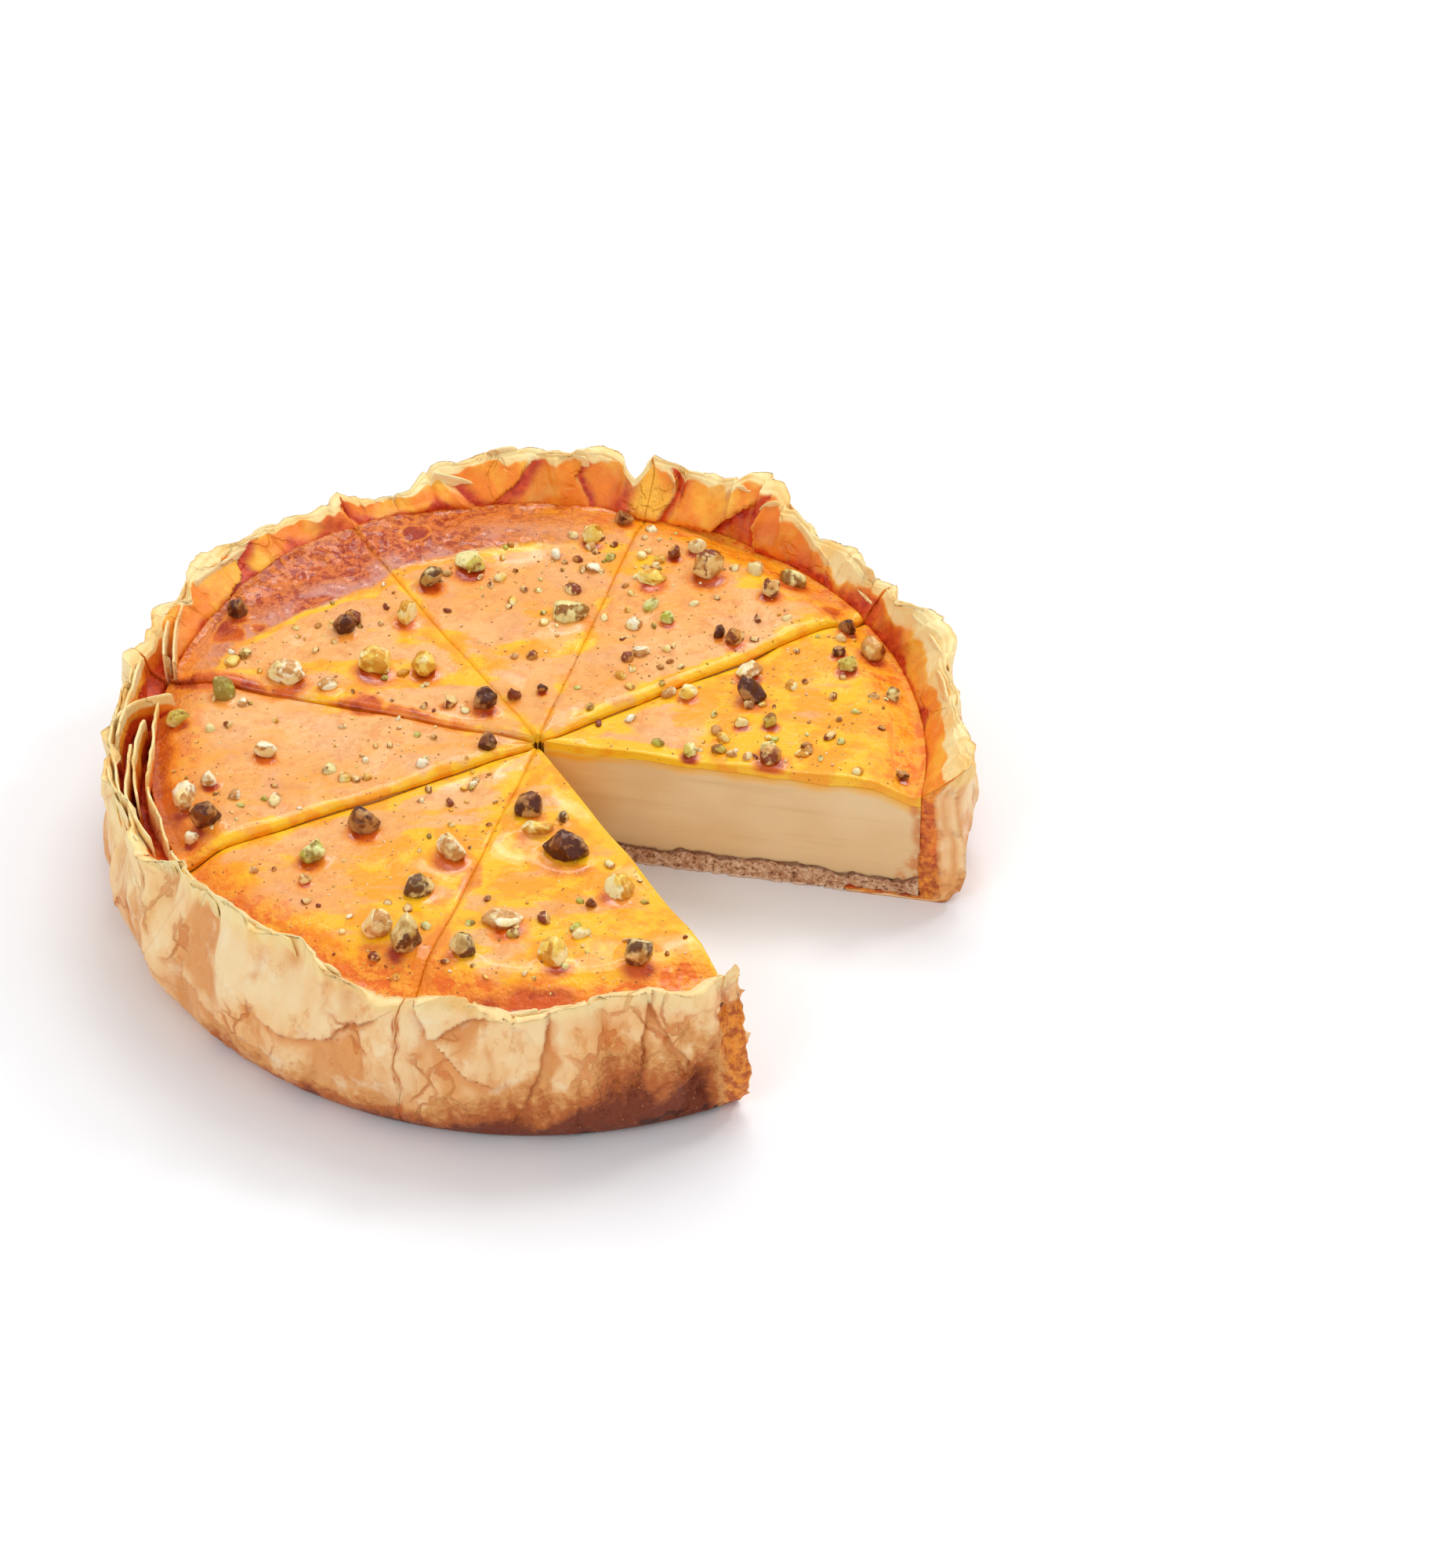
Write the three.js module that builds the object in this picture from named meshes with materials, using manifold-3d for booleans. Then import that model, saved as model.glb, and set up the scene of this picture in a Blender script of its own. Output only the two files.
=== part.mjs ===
// A baked cheesecake in a flaky pastry case, cut into eight slices of which seven are left.
// Each slice is a pastry wall, a crumb base, a cheese filling and an amber glaze with pistachios in it.
// Millimetres and degrees, +Z up, the cake's axis through the origin, its underside at z = 0.
import * as THREE from "three";
import { mergeVertices } from "three/addons/utils/BufferGeometryUtils.js";
import Module from "manifold-3d";

// Driving dimensions
const kerf = 1.0; // the knife's cut between two slices
const gap = 0.3; // between two pieces that touch
const tipRadius = 3.2; // where a slice's blunt tip starts
const fillingRadius = 119;
const wallRadius = fillingRadius + gap;
const glazeHeight = 45.6; // top of the glaze at the middle of the cake
const crumbHeight = 8;
const crumbWave = { height: 0.6, perMillimetre: 0.11 }; // along the radius
const glazeThickness = { middle: 3.2, edge: 7.4 }; // below the level that its middle has
const glazeCrown = { radius: 99, width: 12, rise: 0.9 }; // a low swelling round the cake
const glazeEdge = { start: 104, sinks: 4.2, climbs: 6.5, climbsAt: 128, climbWidth: 32 };
const glazeRipples = [
  { height: 0.35, perMillimetre: 0.11, round: 5, start: 0 },
  { height: 0.25, perMillimetre: 0.19, round: -7, start: 1 },
];
const cutRounding = { reach: 3, drop: 1.7 }; // how the top rolls over where a cut is rolled the most
const foot = { radius: 97, thickness: 1.6 }; // pastry turned in under the crumb
const crestThickness = 1.9;

// The cuts, counted anticlockwise from +X, and how much of the full rounding each one's edges have.
// The eighth slice, from 299 to 349 degrees, is gone.
const cuts = [
  { at: -11, rolled: 0.4 }, { at: 32, rolled: 1 }, { at: 74, rolled: 0.4 }, { at: 121, rolled: 0.4 },
  { at: 165, rolled: 0.7 }, { at: 207, rolled: 1 }, { at: 253, rolled: 0.4 }, { at: 299, rolled: 0.5 },
];

// How each slice's top sits against glazeHeight.
const lifts = [-0.2, 1.6, 1.2, 1.5, 0.6, -1.3, -0.7];
const slices = lifts.map((lift, index) => ({ first: cuts[index], last: cuts[index + 1], lift }));

// The crest of the pastry wall: azimuth, height and radius where it stands up, dips or leans.
const crestKnots = [
  [-11, 55, 134], [-2, 54.5, 131.5], [8, 54, 130.5], [18, 57.5, 132], [24, 58.5, 132.5],
  [30, 54, 127.5], [35, 53, 127.5], [39, 54, 128.5], [42, 55.5, 129], [45, 53.5, 129.5],
  [51, 57, 131], [56, 61, 132], [61, 61.5, 132], [64, 58.5, 131.5], [67, 58.5, 131.5],
  [74, 60, 132], [77, 53.5, 127], [80, 57.5, 129.5], [84, 59.5, 131], [91, 58.7, 133],
  [100, 56.8, 132], [105, 56, 131.5], [109, 53, 130.5], [113, 51.8, 129], [117, 49.5, 127],
  [119, 55.5, 127.5], [122, 57.5, 128], [125, 54, 128.5], [135, 56, 132], [149, 56, 132],
  [163, 54.5, 129.8], [172, 57, 130.5], [181, 53.5, 131.5], [194, 56, 133.5], [206, 53, 131],
  [214, 56, 128], [228, 59.5, 127], [236, 58, 127.5], [242, 55.5, 127.8], [246, 51, 128],
  [249, 49.3, 128.3], [253, 49.3, 128], [255.5, 54, 128.5], [258, 53.5, 128.5], [262, 51.3, 128.6],
  [266, 53, 129], [269, 51.2, 129], [275, 52.5, 129], [279, 54.5, 129], [282, 56.2, 129],
  [285, 56, 129], [288, 54, 129.2], [293, 53.2, 129.4], [299, 52.5, 129.5],
];

// The pastry's cross-section, as radius and height, from the foot's inner edge up to where the
// crest takes over. The two lists are level with each other, one step of the wall to a pair.
const wallInside = [
  [foot.radius, foot.thickness], [108, foot.thickness], [wallRadius, foot.thickness],
  [wallRadius, 5], [wallRadius, 11], [wallRadius, 19], [wallRadius, 28], [wallRadius, 36],
];
const wallOutside = [
  [foot.radius, 0], [111, 0], [125.5, 0], [130, 2.6], [133, 9], [134.3, 18], [134, 28], [132.5, 38],
];
const wallColumns = 18; // along a slice

// From there the outer side leads from the shoulder to the crest, and the inner side from the
// glaze's edge, each by steps: the share of the way out to the crest and the share of the way up.
const shoulder = { radius: 132, height: 45 };
const outerSteps = [{ out: 0.5, up: 0 }, { out: 0.9, up: 0.55 }, { out: 1, up: 1 }];
const innerStep = { out: 0.45, up: 0.5 };
const crestInside = 0.5; // how far the crest's inner edge is below its outer one
const foldsBegin = { from: 2, to: 14 }; // heights between which the wall's folds grow to full depth

// Upright folds in the wall: how many go round, how they lean with height, their depth and start.
const wallFolds = [
  { count: 17, lean: 0.05, depth: 0.9, start: 0.4 },
  { count: 29, lean: -0.07, depth: 0.8, start: 2.1 },
  { count: 43, lean: 0.09, depth: 0.5, start: 4.2 },
];
const crestFolds = {
  height: { count: 37, depth: 0.4, start: 1.2 },
  radius: { count: 53, depth: 0.6, start: 3.1 },
};

// The pistachios that show from a step away, by slice: azimuth, radius, length, height and turn.
const pistachios = [
  [[-4, 71, 5.5, 4, 20], [6, 72, 5.5, 4, 70], [12, 112, 5.5, 4, 10], [18, 69, 9, 7.5, 60],
    [20, 102, 7, 4.5, 150], [23, 113, 9.5, 7, 80], [27, 73, 8.5, 4.5, 15]],
  [[38, 77, 6.5, 4.5, 30], [44, 100, 7.5, 5, 110], [45, 112, 10.5, 5.5, 130],
    [57, 96, 11.5, 8, 40], [62, 104, 6.5, 4.5, 10], [66, 84, 9.5, 3.5, 0]],
  [[77, 112, 6.5, 5.5, 0], [81, 99, 7.5, 6, 30], [82, 60, 12.5, 5.5, 10],
    [105, 88, 11.5, 5, 160], [115, 84, 8.5, 7, 45]],
  [[126, 72, 8.5, 7, 90], [137, 23, 8.5, 6, 20], [137, 49, 9.5, 6, 80],
    [140, 81, 7.5, 6, 0], [146, 62, 13, 6, 15], [148, 113, 7, 5.5, 0], [162, 84, 12.5, 6, 170]],
  [[168, 100, 8, 6.5, 60], [175, 112, 8, 4.5, 20], [185, 84, 7, 5.5, 0],
    [192, 102, 6.5, 4, 30], [194, 111, 10.5, 6.5, 100], [201, 107, 10, 8, 20]],
  [[217, 65, 10, 7.5, 0], [218, 85, 9.5, 6.5, 50], [243, 76, 10, 5.5, 25],
    [242, 99, 10.5, 8.5, 0], [244, 57, 11, 7, 140], [248, 100, 12, 11, 70]],
  [[258, 99, 9.5, 6, 150], [264, 83, 12.5, 4, 0], [267, 33, 10.5, 6.5, 20], [271, 41, 10.5, 3.5, 5],
    [274, 99, 10.5, 7, 0], [281, 52, 14.5, 7, 175], [288, 104, 10, 8.5, 40], [290, 74, 10.5, 6, 10]],
];
const nutWidth = 0.72; // against a pistachio's length
const nutSunk = 0.3; // share of a pistachio's height that is in the glaze
const nutReach = { share: 0.56, clear: 0.3 }; // of its length, from its middle to its furthest corner
const nutLumps = [{ height: 0.12, waves: 5, turns: 3 }, { height: 0.1, waves: 6, turns: 1 }];

const { degToRad, radToDeg, lerp, smoothstep, clamp } = THREE.MathUtils;

// Where a sine fold stands at an azimuth.
const fold = ({ count, depth, start }, azimuth) => depth * Math.sin(count * degToRad(azimuth) + start);

// The crest's height and radius at an azimuth, eased from knot to knot.
function crestAt(azimuth) {
  const next = Math.max(crestKnots.findIndex((knot) => knot[0] >= azimuth), 1);
  const [before, after] = [crestKnots[next - 1], crestKnots[next]];
  const share = smoothstep(azimuth, before[0], after[0]);
  return {
    height: lerp(before[1], after[1], share) + fold(crestFolds.height, azimuth),
    radius: lerp(before[2], after[2], share) + fold(crestFolds.radius, azimuth),
  };
}

// A bell curve of height 1 around a middle.
const bell = (value, middle, width) => Math.exp(-(((value - middle) / width) ** 2));

const nearWall = (radius) => smoothstep(radius, glazeEdge.start, fillingRadius);

// How far the top sinks towards the pastry: most at the front, and at the back left it climbs.
function sunkAt(radius, azimuth) {
  const climb = glazeEdge.climbs * bell(azimuth, glazeEdge.climbsAt, glazeEdge.climbWidth);
  return nearWall(radius) * (glazeEdge.sinks - climb);
}

// The azimuth at a share of the way across a slice, whose sides stand half a kerf off the cuts.
function across(slice, radius, share) {
  const side = radToDeg(Math.asin(kerf / 2 / radius));
  return lerp(slice.first.at + side, slice.last.at - side, share);
}

// How far the top has rolled over towards the nearer of a slice's two cuts.
function rolledOver(slice, radius, azimuth) {
  const [fromFirst, fromLast] = [azimuth - slice.first.at, slice.last.at - azimuth];
  const cut = fromFirst < fromLast ? slice.first : slice.last;
  const distance = radius * Math.sin(degToRad(Math.min(fromFirst, fromLast))) - kerf / 2;
  const near = 1 - Math.min(distance / (cutRounding.reach * cut.rolled), 1);
  return cutRounding.drop * cut.rolled * near ** 2;
}

function glazeTop(slice, radius, azimuth) {
  const crown = glazeCrown.rise * bell(radius, glazeCrown.radius, glazeCrown.width);
  const ripple = ({ height, perMillimetre, round, start }) => (
    height * Math.sin(perMillimetre * radius + round * degToRad(azimuth) + start)
  );
  return glazeHeight + slice.lift + crown + ripple(glazeRipples[0]) + ripple(glazeRipples[1])
    - sunkAt(radius, azimuth) - rolledOver(slice, radius, azimuth);
}

function glazeBottom(slice, radius) {
  return glazeHeight + slice.lift - lerp(glazeThickness.middle, glazeThickness.edge, nearWall(radius));
}

const crumbTop = (radius) => crumbHeight + crumbWave.height * Math.sin(crumbWave.perMillimetre * radius);

// A block cut into steps along its radius, its azimuth and its height, each running from 0 to 1,
// and bent into place: bend takes those three shares to a point's radius, azimuth and height.
function bentBlock(steps, bend) {
  const box = new THREE.BoxGeometry(1, 1, 1, ...steps).translate(0.5, 0.5, 0.5);
  box.deleteAttribute("normal");
  box.deleteAttribute("uv");
  const block = mergeVertices(box);
  const corners = block.attributes.position;
  for (let i = 0; i < corners.count; i++) {
    const [radius, azimuth, height] = bend(corners.getX(i), corners.getY(i), corners.getZ(i));
    const turn = degToRad(azimuth);
    corners.setXYZ(i, radius * Math.cos(turn), radius * Math.sin(turn), height);
  }
  return block;
}

// The wall of a slice: foot, bulging folded side and crumpled crest.
function pastryWall(slice) {
  const steps = wallInside.length + 2;
  return bentBlock([1, wallColumns, steps], (outward, share, up) => {
    const middle = across(slice, wallRadius, share);
    const crest = crestAt(middle);
    const topEdge = glazeHeight + slice.lift - Math.max(sunkAt(fillingRadius, middle), 0);
    const towards = (start, step) => [
      lerp(start.radius, crest.radius, step.out),
      lerp(start.height, crest.height, step.up),
    ];
    const inside = [
      ...wallInside,
      [wallRadius + gap, topEdge],
      towards({ radius: wallRadius, height: topEdge }, innerStep),
      [crest.radius - crestThickness, crest.height - crestInside],
    ];
    const outside = [...wallOutside, ...outerSteps.map((step) => towards(shoulder, step))];
    const step = Math.round(up * steps);
    const [radius, height] = outward ? outside[step] : inside[step];
    const free = outward * smoothstep(height, foldsBegin.from, foldsBegin.to);
    const folds = wallFolds.map((one) => fold({ ...one, start: one.start + one.lean * height }, middle));
    const folded = radius + free * folds.reduce((sum, depth) => sum + depth);
    return [folded, across(slice, folded, share), height];
  });
}

// The crumb, the filling and the glaze share one grid, so that they lie on each other evenly:
// rings round the cake, two of them where the crumb steps up over the pastry's foot, and lines
// across a slice, the outer ones close to its sides, where the top rolls over.
const footStep = [foot.radius - 1.2, foot.radius - 0.5];
const rings = [tipRadius, 32, 62, 86, ...footStep, 109, fillingRadius];
const lines = [0, 0.036, 0.22, 0.41, 0.59, 0.78, 0.964, 1];

function layer(slice, bottom, top) {
  return bentBlock([rings.length - 1, lines.length - 1, 1], (outward, share, up) => {
    const radius = rings[Math.round(outward * (rings.length - 1))];
    const azimuth = across(slice, radius, lines[Math.round(share * (lines.length - 1))]);
    return [radius, azimuth, up ? top(radius, azimuth) : bottom(radius, azimuth)];
  });
}

const crumbBase = (slice) => layer(
  slice,
  (radius) => (radius > footStep[0] ? foot.thickness + gap : 0),
  crumbTop,
);

const cheeseFilling = (slice) => layer(
  slice,
  (radius) => crumbTop(radius) + gap,
  (radius) => glazeBottom(slice, radius) - gap,
);

const amberGlaze = (slice) => layer(
  slice,
  (radius) => glazeBottom(slice, radius),
  (radius, azimuth) => glazeTop(slice, radius, azimuth),
);

// A chopped pistachio: a lopsided faceted pebble, part sunk in the glaze and clear of the sides.
function pistachio(slice, [azimuth, radius, length, height, turn]) {
  const pebble = new THREE.OctahedronGeometry(0.5, 1);
  pebble.deleteAttribute("normal");
  pebble.deleteAttribute("uv");
  const nut = mergeVertices(pebble);
  const corners = nut.attributes.position;
  for (let i = 0; i < corners.count; i++) {
    const [x, y, z] = [corners.getX(i), corners.getY(i), corners.getZ(i)];
    const [long, broad] = nutLumps;
    const swell = 1 + long.height * Math.sin(long.waves * x + long.turns * turn)
      + broad.height * Math.cos(broad.waves * y + broad.turns * turn);
    corners.setXYZ(i, x * swell, y * swell, z);
  }
  const reach = nutReach.share * length + nutReach.clear;
  const out = Math.min(radius, fillingRadius - reach);
  const side = radToDeg(Math.asin((kerf / 2 + reach) / out));
  const middle = clamp(azimuth, slice.first.at + side, slice.last.at - side);
  const fullHeight = height / (1 - nutSunk);
  nut.scale(length, length * nutWidth, fullHeight);
  nut.rotateZ(degToRad(turn));
  const level = glazeTop(slice, out, middle) + (0.5 - nutSunk) * fullHeight;
  return nut.translate(out * Math.cos(degToRad(middle)), out * Math.sin(degToRad(middle)), level);
}

const wasm = await Module();
wasm.setup();

const asManifold = (geometry) => new wasm.Manifold(new wasm.Mesh({
  numProp: 3,
  vertProperties: new Float32Array(geometry.attributes.position.array),
  triVerts: new Uint32Array(geometry.index.array),
}));

// The glaze and the pistachios that stand in it, joined into one solid.
function glazeWithPistachios(slice, nuts) {
  let whole = asManifold(amberGlaze(slice));
  for (const nut of nuts) whole = whole.add(asManifold(pistachio(slice, nut)));
  const { vertProperties, triVerts } = whole.getMesh();
  return new THREE.BufferGeometry()
    .setAttribute("position", new THREE.BufferAttribute(vertProperties, 3))
    .setIndex(new THREE.BufferAttribute(triVerts, 1));
}

const surface = (color, roughness) => new THREE.MeshStandardMaterial({ color, roughness, metalness: 0 });
const bakedPastry = surface(0xe8bd7a, 0.6);
const biscuitCrumb = surface(0x8a5a3a, 0.95);
const bakedCheese = surface(0xead6a8, 0.6);
const setGlaze = surface(0xf09a2c, 0.2);

const cheesecake = new THREE.Group();

function addPiece(name, geometry, material) {
  const piece = new THREE.Mesh(geometry, material);
  piece.name = name;
  cheesecake.add(piece);
}

slices.forEach((slice, index) => {
  const number = index + 1;
  addPiece(`pastry_${number}`, pastryWall(slice), bakedPastry);
  addPiece(`crumb_${number}`, crumbBase(slice), biscuitCrumb);
  addPiece(`filling_${number}`, cheeseFilling(slice), bakedCheese);
  addPiece(`glaze_${number}`, glazeWithPistachios(slice, pistachios[index]), setGlaze);
});

export default cheesecake;
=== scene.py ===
import bpy
import numpy as np
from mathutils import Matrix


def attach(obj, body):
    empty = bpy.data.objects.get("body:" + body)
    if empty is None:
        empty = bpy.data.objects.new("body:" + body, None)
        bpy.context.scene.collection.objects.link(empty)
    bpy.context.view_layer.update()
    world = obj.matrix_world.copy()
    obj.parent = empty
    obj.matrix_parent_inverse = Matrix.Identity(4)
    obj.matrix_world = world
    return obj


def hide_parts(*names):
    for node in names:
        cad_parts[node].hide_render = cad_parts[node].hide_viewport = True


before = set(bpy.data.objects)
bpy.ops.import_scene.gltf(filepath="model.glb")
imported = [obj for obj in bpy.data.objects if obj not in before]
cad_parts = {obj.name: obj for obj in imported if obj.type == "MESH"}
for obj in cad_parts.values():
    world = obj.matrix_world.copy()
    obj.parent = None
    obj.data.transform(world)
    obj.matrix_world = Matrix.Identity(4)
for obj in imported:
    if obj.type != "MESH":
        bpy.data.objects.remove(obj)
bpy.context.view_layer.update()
mm = 0.001

cake = {
    "kerf": 1.0,           # the knife's cut between two slices
    "tipRadius": 1.7,
    "fillingRadius": 119.0,
    "wallRadius": 119.3,   # of the pastry's inner side
    "outerRadius": 130,    # where lengths along the wall are measured
    "crestRadius": 128,    # and along its crest
    "glazeHeight": 45.6,   # top of the glaze at the middle
    "crumbHeight": 8.0,
    "slices": [            # from, to, and how each one's top sits against glazeHeight
        (-11, 32, -0.2), (32, 74, 1.6), (74, 121, 1.2), (121, 165, 1.5),
        (165, 207, 0.6), (207, 253, -1.3), (253, 299, -0.7),
    ],
    "cutRoll": [0.4, 1, 0.4, 0.4, 0.7, 1, 0.4, 0.5],   # how far each cut's edge rolls over, from -11 to 299
    "cutGold": [1, 1, 0.2, 0.4, 0.15, 1, 0.2, 0.6],      # how golden each cut's edge is
    "cutStain": [0, 0, 0.2, 0.2, 0.8, 0.1, 0.4, 0],      # how red
    "golden": [0.62, 0.22, 0.32, 0.46, 0.18, 0.62, 0.6],    # how much of each slice's top has golden patches
    "sinks": 4.2,          # how far the top sinks to the pastry
    "sinksFrom": 104,
    "climb": (128, 32, 6.5),  # where it climbs instead: azimuth, width and height
    "crown": (99, 12, 0.9),   # a low swelling round the top: radius, width and height
    "ripple": 0.11,        # how fast the layers' slow waves pass outwards, in radians a millimetre
}


# Numbers over space

def lerp(a, b, share):
    return a + (b - a) * share


def smooth(low, high, value):
    # an eased step from 0 at low to 1 at high
    share = np.clip((value - low) / (high - low), 0, 1)
    return share * share * (3 - 2 * share)


def hill(value, middle, width, power=2):
    # e to the power of minus how many widths off the middle, to a power: 1 there, falling to 0 on both sides
    return np.exp(-(((value - middle) / width) ** power))


def atKnots(knots, place):
    # the value at a place, on straight lines through knots of place and value
    return np.interp(place, *np.transpose(knots))


latticeSize = 32
lattice = np.random.default_rng(5).uniform(-1, 1, [latticeSize] * 3)


def cloud(x, y, z, size, seed=0):
    # smooth random numbers from -1 to 1 in lumps of about size: a lattice's values eased between corners
    place = [np.asarray(v, float) / size + 9.73 * seed + 3.1 * k for k, v in enumerate((x, y, z))]
    place = np.broadcast_arrays(*place)
    low = [np.floor(v).astype(int) for v in place]
    ease = [(v - w) ** 2 * (3 - 2 * (v - w)) for v, w in zip(place, low)]
    total = 0
    for corner in np.ndindex(2, 2, 2):
        weight = np.prod([e if c else 1 - e for c, e in zip(corner, ease)], axis=0)
        total = total + weight * lattice[tuple((w + c) % latticeSize for c, w in zip(corner, low))]
    return total


def roughCloud(x, y, z, size, seed=0, layers=3):
    # clouds of halved size and height on top of each other
    return sum(cloud(x, y, z, size / 2**k, seed + k) / 2**k for k in range(layers))


def creases(x, y, z, size, seed=0, width=0.12):
    # 1 along the lines where a cloud passes through 0, falling to 0 beside them
    return np.clip(1 - np.abs(cloud(x, y, z, size, seed)) / width, 0, 1)


def alongKnots(knots, share):
    # a Catmull-Rom line through evenly spread knots; each knot is a number or an array over the corners
    knots = np.stack(np.broadcast_arrays(*knots, share)[:-1])
    place = share * (len(knots) - 1)
    i = np.clip(np.floor(place).astype(int), 0, len(knots) - 2)
    t = place - i
    a, b, c, d = (np.take_along_axis(knots, np.clip(i + k, 0, len(knots) - 1)[None], 0)[0]
                  for k in (-1, 0, 1, 2))
    return b + t * (c - a) / 2 + t**2 * (a - 2.5 * b + 2 * c - d / 2) + t**3 * (1.5 * (b - c) + (d - a) / 2)


# Meshes

def blockSkin(steps):
    # the quads on the skin of a block of cells, facing out, and each corner's three shares from 0 to 1
    number = np.arange(np.prod(np.add(steps, 1))).reshape(np.add(steps, 1))
    sides = [number[-1], number[0].T, number[:, -1].T, number[:, 0], number[:, :, -1], number[:, :, 0].T]
    quads = np.concatenate([
        np.stack([g[:-1, :-1], g[1:, :-1], g[1:, 1:], g[:-1, 1:]], -1).reshape(-1, 4) for g in sides
    ])
    used, quads = np.unique(quads, return_inverse=True)
    shares = np.stack(np.unravel_index(used, number.shape)) / np.reshape(steps, (3, 1))
    return shares, quads.reshape(-1, 4)


def ballSkin(rows, columns):
    # a ball of radius 1 as rings of corners between two poles: its corners, quads and triangles
    down, turn = np.meshgrid(np.pi * np.arange(1, rows) / rows, 2 * np.pi * np.arange(columns) / columns,
                             indexing="ij")
    rings = np.stack([np.sin(down) * np.cos(turn), np.sin(down) * np.sin(turn), np.cos(down)], -1)
    corners = np.concatenate([rings.reshape(-1, 3), [[0, 0, 1], [0, 0, -1]]])
    number = np.arange((rows - 1) * columns).reshape(rows - 1, columns)
    turned = np.roll(number, -1, axis=1)
    quads = np.stack([number[:-1], number[1:], turned[1:], turned[:-1]], -1).reshape(-1, 4)
    north, south = len(corners) - 2, len(corners) - 1
    caps = np.concatenate([
        np.stack([np.full(columns, north), number[0], turned[0]], -1),
        np.stack([np.full(columns, south), turned[-1], number[-1]], -1),
    ])
    return corners, quads, caps


def makePiece(name, places, faceSets, finish, nodes, values=None):
    # one object from corners in millimetres; values are named numbers at the corners for the finish to read
    mesh = bpy.data.meshes.new(name)
    loops = np.concatenate([faces.ravel() for faces in faceSets])
    sizes = np.concatenate([np.full(len(faces), faces.shape[1]) for faces in faceSets])
    mesh.vertices.add(len(places))
    mesh.loops.add(len(loops))
    mesh.polygons.add(len(sizes))
    mesh.vertices.foreach_set("co", (places * mm).astype(np.float32).ravel())
    mesh.loops.foreach_set("vertex_index", loops.astype(np.int32))
    mesh.polygons.foreach_set("loop_start", (np.cumsum(sizes) - sizes).astype(np.int32))
    mesh.polygons.foreach_set("use_smooth", np.ones(len(sizes), bool))
    mesh.update(calc_edges=True)
    for title, numbers in (values or {}).items():
        layer = mesh.attributes.new(title, "FLOAT", "POINT")
        layer.data.foreach_set("value", np.broadcast_to(numbers, len(places)).astype(np.float32))
    mesh.materials.append(finish)
    piece = bpy.data.objects.new(name, mesh)
    bpy.context.scene.collection.objects.link(piece)
    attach(piece, "root")
    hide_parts(*nodes)


def makeLayer(name, slot, number, places, faceSets, values):
    # a piece that stands for one layer of one slice
    makePiece(f"{name}{number}", places, faceSets, finishes[slot], [f"{slot}_{number}"], values)


# The cake's common lines

def fromAbove(radius, azimuth):
    # x and y of a place
    turn = np.radians(azimuth)
    return radius * np.cos(turn), radius * np.sin(turn)


def aroundAxis(radius, azimuth, height):
    return np.stack([*fromAbove(radius, azimuth), height], -1)


def alongWall(azimuth):
    # millimetres along the wall's outer side
    return np.radians(azimuth) * cake["outerRadius"]


def alongCrest(azimuth):
    return np.radians(azimuth) * cake["crestRadius"]


def across(start, end, radius, share):
    # the azimuth at a share of a slice's width; its sides stand half a kerf off the cuts
    side = np.degrees(np.arcsin(cake["kerf"] / 2 / radius))
    return lerp(start + side, end - side, share)


def fromSide(start, end, radius, azimuth):
    angle = np.minimum(azimuth - start, end - azimuth)
    return radius * np.sin(np.radians(angle)) - cake["kerf"] / 2


def nearWall(radius):
    return smooth(cake["sinksFrom"], cake["fillingRadius"], radius)


def sunk(azimuth):
    # how far the top sinks to the pastry: most at the front, and at the back left it climbs
    place, width, climb = cake["climb"]
    return cake["sinks"] - climb * hill(azimuth, place, width)


def onSide(share):
    # whether a share of a slice's width is on one of its cut sides
    return (share == 0) | (share == 1)


def into(share):
    # the way into a slice from the nearer side
    return np.where(share < 0.5, 1, -1)


def atOpenCut(start, end, share):
    # whether the nearer side of a slice is at the missing one
    return np.isin(np.where(share < 0.5, start, end), (cake["slices"][0][0], cake["slices"][-1][1]))


def crestLine():
    # azimuth, height and radius of the pastry's crest, off the highest corner in each column of its solids
    columns = 18
    found = []
    for number, (start, end, _) in enumerate(cake["slices"], 1):
        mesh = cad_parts[f"pastry_{number}"].data
        corners = np.empty(len(mesh.vertices) * 3, np.float32)
        mesh.vertices.foreach_get("co", corners)
        x, y, z = corners.reshape(-1, 3).T / mm
        azimuth = (np.degrees(np.arctan2(y, x)) - start + 5) % 360 + start - 5
        column = np.round((azimuth - start) / (end - start) * columns)
        for k in range(columns + 1):
            here = np.flatnonzero(column == k)
            top = here[np.argmax(z[here])]
            found.append((azimuth[top], z[top], np.hypot(x[top], y[top])))
    return np.array(found).T


crest = crestLine()
print("crest read:", crest.shape[1], "places")


def crestAt(azimuth):
    # height and radius of the crest
    return np.interp(azimuth, crest[0], crest[1]), np.interp(azimuth, crest[0], crest[2])


# Materials

def paint(color):
    # a screen colour, 0 to 255, as the linear colour of a socket; a value stays as it is
    if isinstance(color, Wire):
        return color
    channels = np.array(color) / 255
    linear = np.where(channels <= 0.04045, channels / 12.92, ((channels + 0.055) / 1.055) ** 2.4)
    return (*linear.tolist(), 1.0)


class Wire:
    # a socket's value; + - * with a number or another value add a Math node
    def __init__(self, board, socket):
        self.board, self.socket = board, socket

    def maths(self, operation, first, second):
        return self.board.add("ShaderNodeMath", {"operation": operation}, {0: first, 1: second})

    def __add__(self, other):
        return self.maths("ADD", self, other)

    def __sub__(self, other):
        return self.maths("SUBTRACT", self, other)

    def __mul__(self, other):
        return self.maths("MULTIPLY", self, other)

    __radd__ = __add__
    __rmul__ = __mul__


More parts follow.
